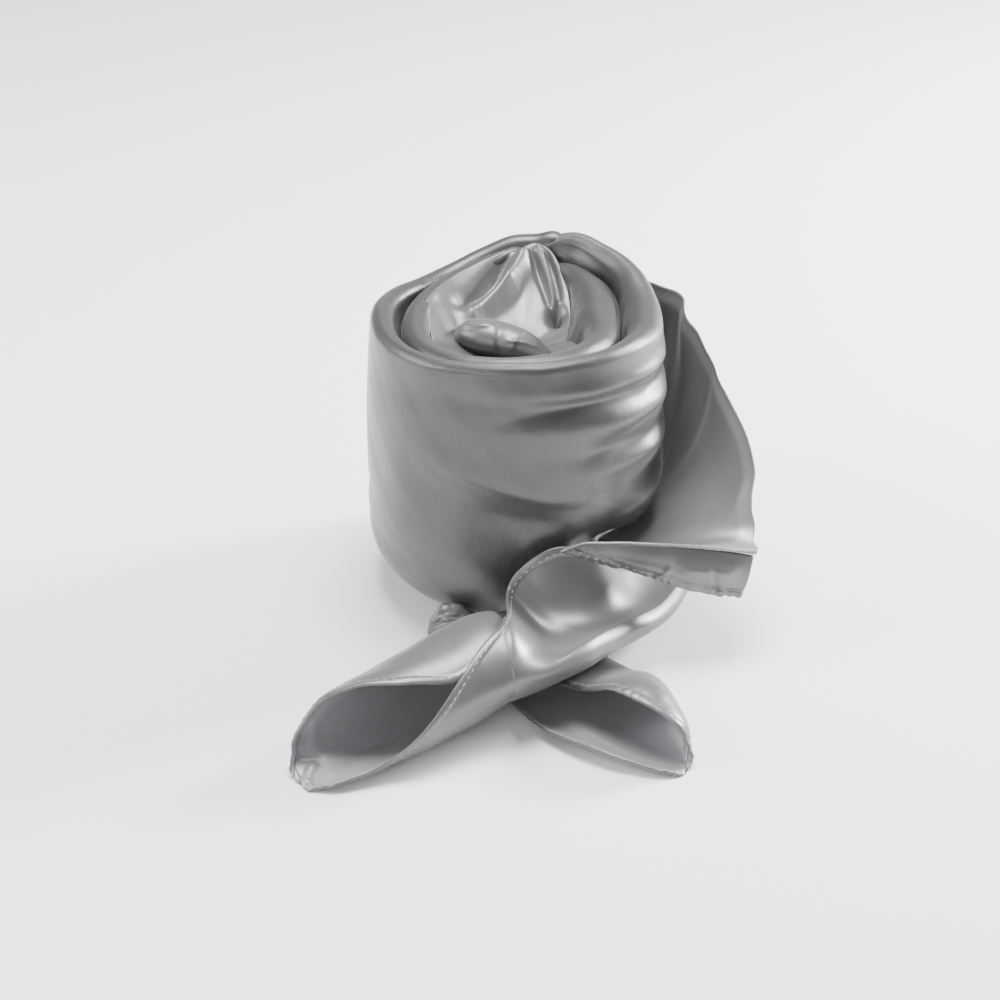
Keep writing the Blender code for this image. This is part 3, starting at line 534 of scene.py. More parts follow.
def new_piece(name, points, faces, materials, uv=None, inner_from=None):
    """A smooth mesh piece at the origin, with an optional second material for its inner face."""
    mesh = bpy.data.meshes.new(name)
    mesh.from_pydata([tuple(point) for point in to_world(points)], [], faces)
    for material in materials:
        mesh.materials.append(material)
    mesh.polygons.foreach_set("use_smooth", [True] * len(mesh.polygons))
    if inner_from is not None:
        index = np.zeros(len(mesh.polygons), dtype=np.int32)
        index[inner_from[0]:inner_from[1]] = 1
        mesh.polygons.foreach_set("material_index", index)
    if uv is not None:
        layer = mesh.uv_layers.new(name="cloth")
        corner = np.empty(len(mesh.loops), dtype=np.int32)
        mesh.loops.foreach_get("vertex_index", corner)
        layer.data.foreach_set("uv", (uv[corner] * MM).ravel())
    mesh.update()
    piece = bpy.data.objects.new(name, mesh)
    bpy.context.scene.collection.objects.link(piece)
    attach(piece, "root")
    return piece


def cloth(name, grid, materials, thick, hemmed=None, flip=False, pucker=0.1):
    """A thin closed sheet of cloth whose outer face is the grid, with hems along its edges."""
    normal = outward(grid, flip)
    rise = np.zeros(grid.shape[:2])
    if hemmed is not None:
        near, place = hemmed.distance(grid)
        width = sizes().hem_width / MM
        rise = sizes().hem_rise / MM * ease((width + 0.25 - near) / 0.5)
        rise = rise * (1.0 - 0.8 * np.exp(-near / 0.3))
        fine = np.sin(place / 0.62 + 2.6 * np.sin(place / 4.3)) * (0.6 + 0.4 * np.sin(place / 3.7))
        ripple = fine + 0.8 * np.sin(place / 1.7 + 1.9 * np.sin(place / 7.9) + 1.0)
        wave = pucker * ripple * np.exp(-((near / 3.6) ** 2))
        grid = grid + normal * wave[..., None]
        normal = outward(grid, flip)
    columns, rows = grid.shape[:2]
    outer = grid + normal * rise[..., None]
    inner = grid - normal * (thick + rise)[..., None]
    outer[..., 2] = np.maximum(outer[..., 2], CLOTH_CLEAR)
    inner[..., 2] = np.maximum(inner[..., 2], CLOTH_CLEAR)
    points = np.concatenate((outer.reshape(-1, 3), inner.reshape(-1, 3)))
    half = columns * rows
    column, row = np.meshgrid(np.arange(columns - 1), np.arange(rows - 1), indexing="ij")
    first = (column * rows + row).ravel()
    quads = np.stack((first, first + rows, first + rows + 1, first + 1), axis=1)
    back = quads[:, ::-1] + half
    edge = [(c * rows, (c + 1) * rows) for c in range(columns - 1)]
    edge += [((columns - 1) * rows + r, (columns - 1) * rows + r + 1) for r in range(rows - 1)]
    edge += [((c + 1) * rows + rows - 1, c * rows + rows - 1) for c in range(columns - 2, -1, -1)]
    edge += [(r + 1, r) for r in range(rows - 2, -1, -1)]
    rim = np.array([(b, a, a + half, b + half) for a, b in edge])
    faces = np.concatenate((quads, rim, back))
    if flip:
        faces = faces[:, ::-1]
    run = np.stack((run_lengths(grid, 0), run_lengths(grid, 1)), axis=-1).reshape(-1, 2)
    uv = np.concatenate((run, run))
    backs = (len(quads) + len(rim), len(faces))
    piece = new_piece(name, points, faces.tolist(), materials, uv, backs)
    return piece, grid, normal * (rise + 0.05)[..., None]


def stitch_line(grid, lift, side, width):
    """Points of a seam that runs at one distance inside an edge of a sheet."""
    inward = grid if side in ("low", "high") else np.swapaxes(grid, 0, 1)
    raised = lift if side in ("low", "high") else np.swapaxes(lift, 0, 1)
    if side in ("high", "end"):
        inward, raised = inward[:, ::-1], raised[:, ::-1]
    run = run_lengths(inward, 1)
    line = np.empty((len(inward), 3))
    for index in range(len(inward)):
        for axis in range(3):
            place = np.interp(width, run[index], inward[index, :, axis])
            rise = np.interp(width, run[index], raised[index, :, axis])
            line[index, axis] = place + rise
    line[:, 2] = np.maximum(line[:, 2], 0.5 * sizes().thread_width / MM)
    return line


def stitch_nodes(material):
    """Stitches spaced along a seam line, each one a small rounded bar of thread."""
    tree = bpy.data.node_groups.new("hem_stitches", "GeometryNodeTree")
    face = tree.interface
    face.new_socket("Seam", in_out="INPUT", socket_type="NodeSocketGeometry")
    spacing = face.new_socket("Stitch Spacing", in_out="INPUT", socket_type="NodeSocketFloat")
    length = face.new_socket("Stitch Length", in_out="INPUT", socket_type="NodeSocketFloat")
    width = face.new_socket("Thread Width", in_out="INPUT", socket_type="NodeSocketFloat")
    face.new_socket("Stitches", in_out="OUTPUT", socket_type="NodeSocketGeometry")
    spacing.default_value = sizes().stitch_spacing
    length.default_value = sizes().stitch_length
    width.default_value = sizes().thread_width
    nodes, link = tree.nodes, tree.links.new
    given = nodes.new("NodeGroupInput")
    result = nodes.new("NodeGroupOutput")
    curve = nodes.new("GeometryNodeMeshToCurve")
    even = nodes.new("GeometryNodeResampleCurve")
    even.mode = "LENGTH"
    bar = nodes.new("GeometryNodeMeshUVSphere")
    bar.inputs["Segments"].default_value = 6
    bar.inputs["Rings"].default_value = 4
    bar.inputs["Radius"].default_value = 0.5
    size = nodes.new("ShaderNodeCombineXYZ")
    uneven = nodes.new("FunctionNodeRandomValue")
    uneven.data_type = "FLOAT"
    uneven.inputs[2].default_value = 0.7
    uneven.inputs[3].default_value = 1.15
    uneven.inputs["Seed"].default_value = 11
    longer = nodes.new("ShaderNodeMath")
    longer.operation = "MULTIPLY"
    tangent = nodes.new("GeometryNodeInputTangent")
    turn = nodes.new("FunctionNodeAlignRotationToVector")
    turn.axis = "X"
    place = nodes.new("GeometryNodeInstanceOnPoints")
    real = nodes.new("GeometryNodeRealizeInstances")
    smooth = nodes.new("GeometryNodeSetShadeSmooth")
    paint = nodes.new("GeometryNodeSetMaterial")
    paint.inputs["Material"].default_value = material
    link(given.outputs["Seam"], curve.inputs["Mesh"])
    link(curve.outputs["Curve"], even.inputs["Curve"])
    link(given.outputs["Stitch Spacing"], even.inputs["Length"])
    link(given.outputs["Stitch Length"], longer.inputs[0])
    link(uneven.outputs[1], longer.inputs[1])
    link(longer.outputs["Value"], size.inputs["X"])
    link(given.outputs["Thread Width"], size.inputs["Y"])
    link(given.outputs["Thread Width"], size.inputs["Z"])
    link(tangent.outputs["Tangent"], turn.inputs["Vector"])
    link(even.outputs["Curve"], place.inputs["Points"])
    link(bar.outputs["Mesh"], place.inputs["Instance"])
    link(turn.outputs["Rotation"], place.inputs["Rotation"])
    link(size.outputs["Vector"], place.inputs["Scale"])
    link(place.outputs["Instances"], real.inputs["Geometry"])
    link(real.outputs["Geometry"], smooth.inputs["Geometry"])
    link(smooth.outputs["Geometry"], paint.inputs["Geometry"])
    link(paint.outputs["Geometry"], result.inputs["Stitches"])
    return tree


def stitches(name, lines):
    """The seam stitches of one sheet, as a plain mesh."""
    points, edges = [], []
    for line in lines:
        first = len(points)
        points.extend(tuple(point) for point in to_world(line))
        edges.extend((first + i, first + i + 1) for i in range(len(line) - 1))
    seam = bpy.data.meshes.new(name + "_seam")
    seam.from_pydata(points, edges, [])
    holder = bpy.data.objects.new(name + "_seam", seam)
    bpy.context.scene.collection.objects.link(holder)
    tree = bpy.data.node_groups.get("hem_stitches") or stitch_nodes(thread_material())
    sewing = holder.modifiers.new("hem_stitches", "NODES")
    sewing.node_group = tree
    values = {
        "Stitch Spacing": sizes().stitch_spacing,
        "Stitch Length": sizes().stitch_length,
        "Thread Width": sizes().thread_width,
    }
    for socket in tree.interface.items_tree:
        if socket.name in values:
            sewing[socket.identifier] = values[socket.name]
    depsgraph = bpy.context.evaluated_depsgraph_get()
    mesh = bpy.data.meshes.new_from_object(holder.evaluated_get(depsgraph))
    bpy.data.objects.remove(holder)
    bpy.data.meshes.remove(seam)
    mesh.name = name
    piece = bpy.data.objects.new(name, mesh)
    bpy.context.scene.collection.objects.link(piece)
    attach(piece, "root")
    return piece


def plain_input(face, name, kind, value):
    """One named input of a node group, with its default."""
    socket = face.new_socket(name, in_out="INPUT", socket_type=kind)
    socket.default_value = value
    return socket


def satin_weave():
    """Colour, roughness and height of woven satin: fine ribs, slubs and a slow change of tone."""
    known = bpy.data.node_groups.get("satin_weave")
    if known:
        return known
    tree = bpy.data.node_groups.new("satin_weave", "ShaderNodeTree")
    face = tree.interface
    plain_input(face, "Cloth Color", "NodeSocketColor", (0.4, 0.4, 0.42, 1.0))
    plain_input(face, "Shade Color", "NodeSocketColor", (0.3, 0.3, 0.32, 1.0))
    plain_input(face, "Rib Width", "NodeSocketFloat", 0.0008)
    plain_input(face, "Rib Depth", "NodeSocketFloat", 1.0)
    plain_input(face, "Smoothness", "NodeSocketFloat", 0.36)
    plain_input(face, "Unevenness", "NodeSocketFloat", 0.1)
    face.new_socket("Color", in_out="OUTPUT", socket_type="NodeSocketColor")
    face.new_socket("Roughness", in_out="OUTPUT", socket_type="NodeSocketFloat")
    face.new_socket("Height", in_out="OUTPUT", socket_type="NodeSocketFloat")
    nodes, link = tree.nodes, tree.links.new
    given = nodes.new("NodeGroupInput")
    result = nodes.new("NodeGroupOutput")
    flat = nodes.new("ShaderNodeUVMap")
    flat.uv_map = "cloth"
    place = nodes.new("ShaderNodeTexCoord")
    parts = nodes.new("ShaderNodeSeparateXYZ")
    link(flat.outputs["UV"], parts.inputs["Vector"])

    def maths(kind, first, second=None, value=None):
        node = nodes.new("ShaderNodeMath")
        node.operation = kind
        link(first, node.inputs[0])
        if second is not None:
            link(second, node.inputs[1])
        if value is not None:
            node.inputs[1].default_value = value
        return node.outputs["Value"]

    def noise(vector, scale, detail, rough=0.5):
        node = nodes.new("ShaderNodeTexNoise")
        node.inputs["Scale"].default_value = scale
        node.inputs["Detail"].default_value = detail
        node.inputs["Roughness"].default_value = rough
        link(vector, node.inputs["Vector"])
        return node.outputs["Fac"]

    stretched = nodes.new("ShaderNodeMapping")
    stretched.inputs["Scale"].default_value = (1.0, 0.06, 1.0)
    link(flat.outputs["UV"], stretched.inputs["Vector"])
    slub = noise(stretched.outputs["Vector"], 900.0, 3.0, 0.6)
    tone = noise(place.outputs["Object"], 26.0, 3.0)
    grain = noise(flat.outputs["UV"], 2600.0, 1.0)
    bend = maths("MULTIPLY", noise(flat.outputs["UV"], 60.0, 1.0), value=0.0016)
    across = maths("ADD", parts.outputs["X"], bend)
    turns = maths("DIVIDE", across, given.outputs["Rib Width"])
    wave = maths("SINE", maths("MULTIPLY", turns, value=math.tau))
    ribs = maths("MULTIPLY", wave, given.outputs["Rib Depth"])
    lively = maths("MULTIPLY", ribs, maths("ADD", slub, value=0.1))
    height = maths("ADD", lively, maths("MULTIPLY", grain, value=0.7))
    height = maths("ADD", height, maths("MULTIPLY", slub, value=1.2))
    uneven = maths("SUBTRACT", maths("ADD", tone, slub), value=1.0)
    dull = maths("MULTIPLY", uneven, given.outputs["Unevenness"])
    rough = maths("ADD", dull, given.outputs["Smoothness"])
    shade = maths("MULTIPLY", maths("ADD", wave, value=1.0), value=0.16)
    shade = maths("ADD", shade, maths("MULTIPLY", tone, value=0.5))
    mix = nodes.new("ShaderNodeMix")
    mix.data_type = "RGBA"
    mix.clamp_factor = True
    link(shade, mix.inputs["Factor"])
    link(given.outputs["Cloth Color"], mix.inputs["A"])
    link(given.outputs["Shade Color"], mix.inputs["B"])
    link(mix.outputs["Result"], result.inputs["Color"])
    link(rough, result.inputs["Roughness"])
    link(height, result.inputs["Height"])
    return tree


def satin(name, shine=1.0, rib_depth=1.0, light=1.0):
    """Satin for one side of the cloth; shine 1 is the face and 0 the dull back, and light scales its
    colours as painted light above 1 and painted shade below 1.
    """
    known = bpy.data.materials.get(name)
    if known:
        return known
    material = bpy.data.materials.new(name)
    material.use_nodes = True
    nodes, link = material.node_tree.nodes, material.node_tree.links.new
    shader = nodes["Principled BSDF"]
    # The light factor scales both colours: painted light above 1, painted shade below 1.
    cloth_tone_with_painted_light = [light * part for part in colours().satin[:3]]
    shade_tone_with_painted_light = [light * part for part in colours().satin_shade[:3]]
    weave = nodes.new("ShaderNodeGroup")
    weave.node_tree = satin_weave()
    weave.inputs["Cloth Color"].default_value = (*cloth_tone_with_painted_light, 1.0)
    weave.inputs["Shade Color"].default_value = (*shade_tone_with_painted_light, 1.0)
    weave.inputs["Rib Width"].default_value = sizes().rib_width
    weave.inputs["Rib Depth"].default_value = rib_depth
    weave.inputs["Smoothness"].default_value = 0.50 - 0.15 * shine
    weave.inputs["Unevenness"].default_value = 0.14
    bump = nodes.new("ShaderNodeBump")
    bump.inputs["Strength"].default_value = 0.35
    bump.inputs["Distance"].default_value = 0.00006
    link(weave.outputs["Color"], shader.inputs["Base Color"])
    link(weave.outputs["Roughness"], shader.inputs["Roughness"])
    link(weave.outputs["Height"], bump.inputs["Height"])
    link(bump.outputs["Normal"], shader.inputs["Normal"])
    shader.inputs["Metallic"].default_value = 0.15 + 0.35 * shine
    shader.inputs["Sheen Weight"].default_value = 0.12
    shader.inputs["Sheen Roughness"].default_value = 0.45
    shader.inputs["Specular IOR Level"].default_value = 0.35 + 0.55 * shine
    return material


def thread_material():
    """Pale sewing thread, with a fine twist."""
    known = bpy.data.materials.get("hem_thread")
    if known:
        return known
    material = bpy.data.materials.new("hem_thread")
    material.use_nodes = True
    nodes, link = material.node_tree.nodes, material.node_tree.links.new
    shader = nodes["Principled BSDF"]
    place = nodes.new("ShaderNodeTexCoord")
    twist = nodes.new("ShaderNodeTexNoise")
    twist.inputs["Scale"].default_value = 2400.0
    ramp = nodes.new("ShaderNodeValToRGB")
    dark = [0.8 * part for part in colours().thread[:3]]
    ramp.color_ramp.elements[0].color = (*dark, 1.0)
    ramp.color_ramp.elements[1].color = tuple(colours().thread)
    link(place.outputs["Object"], twist.inputs["Vector"])
    link(twist.outputs["Fac"], ramp.inputs["Fac"])
    link(ramp.outputs["Color"], shader.inputs["Base Color"])
    shader.inputs["Roughness"].default_value = 0.42
    return material


def floor_material():
    """A plain pale paper floor."""
    material = bpy.data.materials.new("studio_floor")
    material.use_nodes = True
    nodes, link = material.node_tree.nodes, material.node_tree.links.new
    shader = nodes["Principled BSDF"]
    place = nodes.new("ShaderNodeTexCoord")
    grain = nodes.new("ShaderNodeTexNoise")
    grain.inputs["Scale"].default_value = 40.0
    ramp = nodes.new("ShaderNodeValToRGB")
    pale = colours().floor[:3]
    ramp.color_ramp.elements[0].color = (*[0.985 * part for part in pale], 1.0)
    ramp.color_ramp.elements[1].color = (*pale, 1.0)
    link(place.outputs["Object"], grain.inputs["Vector"])
    link(grain.outputs["Fac"], ramp.inputs["Fac"])
    link(ramp.outputs["Color"], shader.inputs["Base Color"])
    shader.inputs["Roughness"].default_value = 0.9
    shader.inputs["Specular IOR Level"].default_value = 0.1
    return material


def face_and_back(ribs=1.0):
    """The two sides of the satin, the band's with its ribs or the single cloth's nearly plain. The
    band's face is darkened as painted shade, the single cloth's two sides are lightened as painted
    light, and the band's back is plain.
    """
    if ribs < 1.0:
        inside = satin("satin_single_back_painted_light", 0.4, ribs, CORNER_INSIDE_PAINTED_LIGHT)
        return [satin("satin_single_face_painted_light", 0.8, ribs, SINGLE_PAINTED_LIGHT), inside]
    return [satin("satin_band_face_painted_shade", light=COIL_PAINTED_SHADE), satin("satin_back", shine=0.4, rib_depth=0.5)]


def open_cloth():
    """The two sides of the open petal, both lightened as painted light, the inner one more."""
    outside = satin("satin_petal_outside_painted_light", 0.6, OPEN_RIBS, PETAL_OUTSIDE_PAINTED_LIGHT)
    return [satin("satin_petal_inside_painted_light", 0.8, OPEN_RIBS, PETAL_INSIDE_PAINTED_LIGHT), outside]


def wall_reach(wall, height):
    """How far a wall stands out at one height, with its curled foot and drawn-in rim."""
    shoulder = wall.rim - wall.roll
    part = np.clip((height - wall.foot) / (shoulder - wall.foot), 0.0, 1.0)
    curl = np.clip(1.0 - (height - wall.foot) / FOOT_CURL, 0.0, 1.0) ** 2
    return wall.radius - wall.foot_in * curl - wall.rim_in * part**3


def coiled_grid(rows, degs, outer_steps, rim_steps, inner_steps, drags, folds, leans, bend, seed):
    """A wall wound round the rose: outer ply, rolled rim and inner ply, with its folds."""
    wall = smooth_rows(rows, degs)
    angle = np.radians(wall.deg)
    shoulder = wall.rim - wall.roll
    centre = wall.radius - wall.rim_in - wall.roll
    reach, height = [], []
    for part in np.linspace(0.0, 1.0, outer_steps):
        level = wall.foot + (shoulder - wall.foot) * part
        fade = ease(part / 0.1) * ease((1.0 - part) / 0.12)
        held = ease(part / 0.06) * ease((1.0 - part) / 0.05)
        push = fade * drag_depth(wall.deg, level, drags)
        push = push + held * fold_depth(wall.deg, level, folds, BAND_RADIUS * math.pi / 180.0)
        reach.append(wall_reach(wall, level) + push)
        height.append(level)
    for turn in np.linspace(0.0, math.pi, rim_steps + 1)[1:]:
        reach.append(centre + wall.roll * math.cos(turn))
        height.append(shoulder + wall.roll * math.sin(turn))
    lean = np.interp(wall.deg, *zip(*leans))
    for part in np.linspace(0.0, 1.0, inner_steps + 1)[1:]:
        reach.append(centre - wall.roll - lean * part**bend)
        height.append(shoulder - (wall.tuck - wall.roll) * part)
    reach, height = np.stack(reach, axis=1), np.stack(height, axis=1)
    arc = wall.deg[:, None] * BAND_RADIUS * math.pi / 180.0
    reach = reach + 0.22 * wander(arc, height, 7.5, seed) + 0.10 * wander(arc, height, 3.1, seed + 2.0)
    grid = np.empty(reach.shape + (3,))
    grid[..., 0] = COIL_X + reach * np.cos(angle)[:, None]
    grid[..., 1] = COIL_Y + reach * np.sin(angle)[:, None]
    grid[..., 2] = height
    return grid


def rolled_grid(rows, places, steps, side, folds, seed, tight=0.2, loose=0.0):
    """A rolled corner: far hem, floor, near side and the rim of the bowl at its root."""
    tail = smooth_rows(rows, places)
    slope_x = np.gradient(tail.x, places)
    slope_y = np.gradient(tail.y, places)
    length = np.hypot(slope_x, slope_y)
    across_x = -side * slope_y / length
    across_y = side * slope_x / length
    grid = np.empty((len(places), steps, 3))
    ridge = np.maximum(tail.near_deg, RIDGE_DEG)
    for index, part in enumerate(np.linspace(0.0, 1.0, steps)):
        deg = tail.far_deg + (tail.near_deg - tail.far_deg) * part
        shrink = 1.0 - tight * ease((deg - 100.0) / 110.0)
        turn = np.radians(deg)
        push = fold_depth(places, deg, folds, 1.0, 0.22)
        push = push + loose * wander(places, deg * 0.22, 5.5, seed)
        wide = tail.half_width * shrink + push
        high = tail.half_height * shrink + push
        across = wide * np.sin(turn)
        height = tail.half_height - high * np.cos(turn)
        over = np.clip((ridge - deg) / np.maximum(ridge - tail.near_deg, 1.0), 0.0, 1.0)
        ridge_turn = np.radians(ridge)
        ridge_across = tail.half_width * np.sin(ridge_turn)
        ridge_height = tail.half_height * (1.0 - np.cos(ridge_turn))
        bowl_across = ridge_across + (tail.rim_h - ridge_across) * over
        bowl_height = ridge_height + (tail.rim_z - tail.lift - ridge_height) * over
        bowl_height = bowl_height - tail.dip * 4.0 * over * (1.0 - over)
        blend = np.where(deg < ridge, ease(tail.bowl), 0.0)
        across = across + (bowl_across - across) * blend
        height = height + (bowl_height - height) * blend
        grid[:, index, 0] = tail.x + across_x * across
        grid[:, index, 1] = tail.y + across_y * across
        grid[:, index, 2] = np.maximum(tail.lift + height, 0.05)
    return grid


def soften_rows(grid, places, middle, reach, rounds):
    """The sheet eased along its length round one place, so that no line shows there."""
    share = np.exp(-(((places - middle) / reach) ** 2))[1:-1, None, None]
    for _ in range(rounds):
        between = 0.5 * (grid[:-2] + grid[2:])
        grid[1:-1] += 0.5 * share * (between - grid[1:-1])
    return grid


def tail_places(rows, count):
    """Places along a corner, closer together across the hem at its tip."""
    return rows[0].along + hem_places(rows[-1].along - rows[0].along, count, True, False)


def petal_grid(columns, steps):
    """The open petal, which grows out of the outer turn at the back of the rose."""
    length = PETAL_STEPS * PETAL_STEP_LENGTH
    places = PETAL[0].step + hem_places(length, columns, False, True) / PETAL_STEP_LENGTH
    row = smooth_rows(PETAL, places)
    inner = np.stack((row.inner_x, row.inner_y, row.inner_z), axis=1)
    lip = np.stack((row.lip_x, row.lip_y, row.lip_z), axis=1)
    span = lip - inner
    level = np.stack((span[:, 0], span[:, 1], np.zeros(columns)), axis=1)
    level = level / np.linalg.norm(level, axis=1)[:, None]
    wall = smooth_rows(OUTER_WRAP, np.full(columns, OUTER_WRAP[0].deg))
    joined = 1.0 - ease(places / 1.3)
    grid = np.empty((columns, steps, 3))
    for index, part in enumerate(np.linspace(0.0, 1.0, steps)):
        belly = 4.0 * part * (1.0 - part)
        push = fold_depth(places, part, PETAL_FOLDS)
        push = push + 0.3 * wander(places * PETAL_STEP_LENGTH, part * 60.0, 8.0, 1.0)
        curl = ease((part - 0.9) / 0.1) * ease(places / 2.0) * ease((PETAL_STEPS - places) / 2.0)
        point = inner + span * part + level * (row.out * belly - push + 1.2 * curl)[:, None]
        point[:, 1] -= row.front * belly
        point[:, 2] -= row.down * belly + 1.0 * curl
        height = wall.foot + (wall.rim - wall.roll - wall.foot) * part
        reach = wall_reach(wall, height) + 0.2
        turn = np.radians(OUTER_WRAP[0].deg + 1.1 * np.sin(height / 15.0) + 0.7 * np.sin(height / 6.3))
        follow = (COIL_X + reach * np.cos(turn), COIL_Y + reach * np.sin(turn), height)
        follow = np.stack(follow, axis=1)
        grid[:, index] = point + (follow - point) * joined[:, None]
        droop = max(0.0, 1.0 - part / 0.1) ** 2 * ease(places - PETAL_STEPS + 1.0)
        grid[:, index] += droop[:, None] * HEM_DROOP
    return grid


def flap_grid(columns, steps, hem):
    """The strip turned under the petal's hem, from just behind that hem to its own puckered edge."""
    places = np.linspace(FLAP[0].step, FLAP[-1].step, columns)
    row = smooth_rows(FLAP, places)
    order = np.argsort(hem[:, 0])
    row = row._replace(
        top_y=np.interp(row.top_x, hem[order, 0], hem[order, 1]) + FLAP_BEHIND,
        top_z=np.interp(row.top_x, hem[order, 0], hem[order, 2]) - FLAP_BELOW,
    )
    grid = np.empty((columns, steps, 3))
    for index, part in enumerate(np.linspace(0.0, 1.0, steps)):
        wave = 0.5 * part * wander(places * 9.0, part * 6.0, 3.0, 4.0)
        grid[:, index, 0] = row.top_x + (row.hem_x - row.top_x) * part
        grid[:, index, 1] = row.top_y + (row.hem_y - row.top_y) * part
        push = fold_depth(places, part, FLAP_FOLDS, 9.0, 11.0)
        grid[:, index, 1] -= row.lean * math.sin(math.pi * part) + wave + push
        grid[:, index, 2] = row.top_z + (row.hem_z - row.top_z) * part
    return grid


def pleat_height(x, y):
    """How far the heart's pleats lift its cloth at the places x, y."""
    lift = np.zeros(x.shape)
    steps = np.linspace(0.0, 1.0, 33)
    for pleat in HEART_PLEATS:
        line_x = (1 - steps) ** 2 * pleat.x + 2 * steps * (1 - steps) * pleat.mid_x
        line_x = line_x + steps**2 * pleat.end_x
        line_y = (1 - steps) ** 2 * pleat.y + 2 * steps * (1 - steps) * pleat.mid_y
        line_y = line_y + steps**2 * pleat.end_y
        away = np.hypot(x[..., None] - line_x, y[..., None] - line_y)
        nearest = np.argmin(away, axis=-1)
        gap = np.min(away, axis=-1)
        places = (0.0, 0.5, 1.0)
        rise = np.interp(steps[nearest], places, (pleat.rise, pleat.mid_rise, pleat.end_rise))
        lift = lift + rise * np.exp(-((gap / pleat.width) ** 2))
    return lift


def heart_grid(columns, rings):
    """The pleated middle of the rose in rings round its lowest place."""
    edge = smooth_rows(HEART_EDGE, np.linspace(0.0, 360.0, columns))
    angle = np.radians(edge.deg)
    turn = smooth_rows(SECOND_TURN, np.clip(edge.deg, SECOND_TURN[0].deg, SECOND_TURN[-1].deg))
    over = ease(np.interp(edge.deg, *zip(*HEART_OVER)))
    edge_reach = edge.reach + over * (turn.radius - OVER_ROLL * turn.roll - edge.reach)
    edge_height = edge.height + over * (turn.rim + 0.15 - edge.height)
    part = np.linspace(0.0, 1.0, rings) ** 0.85
    reach = edge_reach[:, None] * part
    x = COIL_X + reach * np.cos(angle)[:, None]
    y = COIL_Y + reach * np.sin(angle)[:, None]
    height = HEART_LOW + (edge_height[:, None] - HEART_LOW) * part**1.35
    height = height + pleat_height(x, y) * ease((1.0 - part) / 0.08)
    height = height + 0.25 * wander(x, y, 4.0, 3.0)
    grid = np.stack((x, y, height), axis=-1)
    grid[-1] = grid[0]
    return grid


def walls_round(deg):
    """The wound walls' sizes in each direction of the rose."""
    first, last = OUTER_WRAP[0].deg, OUTER_WRAP[-1].deg
    low, high = RIGHT_SHOULDER[0].deg, RIGHT_SHOULDER[-1].deg
    outer = smooth_rows(OUTER_WRAP, np.clip(deg, first, last))
    behind = np.where(deg < first, deg + 360.0, deg)
    shoulder = smooth_rows(RIGHT_SHOULDER, np.clip(behind, low, high))
    wound = (deg >= first) & (deg <= last)
    return Wall(*(np.where(wound, a, b) for a, b in zip(outer, shoulder)))


def round_cloth(name, grid, materials, thick):
    """A closed sheet round a pole: the grid's last column repeats its first one."""
    loop = grid[:-1]
    columns, rows = loop.shape[:2]
    along = np.roll(loop, -1, axis=0) - np.roll(loop, 1, axis=0)
    across = np.gradient(loop, axis=1)
    normal = np.cross(along, across)
    normal[:, 0] = (0.0, 0.0, -1.0)
    normal = -normal / np.maximum(np.linalg.norm(normal, axis=-1, keepdims=True), 1e-9)
    half = columns * (rows - 1) + 1
    sides = []
    for shift in (0.0, thick):
        level = loop - normal * shift
        sides.append(np.concatenate((level[0, :1], level[:, 1:].reshape(-1, 3))))
    points = np.concatenate(sides)
    faces = []
    for column in range(columns):
        this, after = 1 + column * (rows - 1), 1 + ((column + 1) % columns) * (rows - 1)
        faces.append((0, this, after))
        for row in range(rows - 2):
            faces.append((this + row, this + row + 1, after + row + 1, after + row))
    tops = len(faces)
    last = rows - 2
    for column in range(columns):
        this, after = 1 + column * (rows - 1), 1 + ((column + 1) % columns) * (rows - 1)
        faces.append((this + last, this + last + half, after + last + half, after + last))
    rims = len(faces)
    faces.extend(tuple(corner + half for corner in reversed(face)) for face in faces[:tops])
    flat = np.concatenate((loop[0, :1, :2], loop[:, 1:, :2].reshape(-1, 2)))
    uv = np.concatenate((flat, flat))
    return new_piece(name, points, faces, materials, uv, (rims, len(faces)))


def hidden_layers(columns):
    """The layers wound inside and under the rose, with their folded edges round the foot."""
    deg = np.linspace(0.0, 360.0, columns + 1)[:-1]
    layer = smooth_rows(CORE, deg)
    angle = np.radians(layer.deg)
    wall = walls_round(layer.deg)
    arc = deg * 40.0 * math.pi / 180.0
    points, run = [], []
    for index, height in enumerate(CORE_RINGS):
        swell = ease((height - layer.step_low) / (layer.step_high - layer.step_low))
        folds = np.minimum(drag_depth(layer.deg, height, DRAG_FOLDS), 0.0)
        full = wall_reach(wall, height) + folds - 2.4
        gather = 0.5 * np.sin(arc / 2.3 + 2.0 * np.sin(arc / 9.0)) + 0.4 * np.sin(arc / 5.1 + 1.0)
        reach = layer.foot_reach + (full - layer.foot_reach) * swell
        reach = reach + gather * (1.0 - swell) * min(1.0, height / 3.0 + 0.4) - 0.5 * (index == 0)
        x = COIL_X + reach * np.cos(angle)
        y = COIL_Y + reach * np.sin(angle)
        points.append(np.stack((x, y, np.full(columns, height)), axis=1))
        run.append(np.stack((arc, np.full(columns, height)), axis=1))
    for height, inset in ((68.0, 8.0), (68.4, 24.0)):
        level = points[-1].copy()
        level[:, :2] = (COIL_X, COIL_Y) + (level[:, :2] - (COIL_X, COIL_Y)) * (1.0 - inset / 60.0)
        level[:, 2] = height
        points.append(level)
        run.append(run[-1] + (0.0, inset))
    rings = len(points)
    faces = [tuple(range(columns))[::-1]]
    for level in range(rings - 1):
        low = level * columns
        high = low + columns
        for column in range(columns):
            after = (column + 1) % columns
            faces.append((low + column, low + after, high + after, high + column))
    faces.append(tuple(high + column for column in range(columns)))
    return np.concatenate(points), faces, np.concatenate(run)


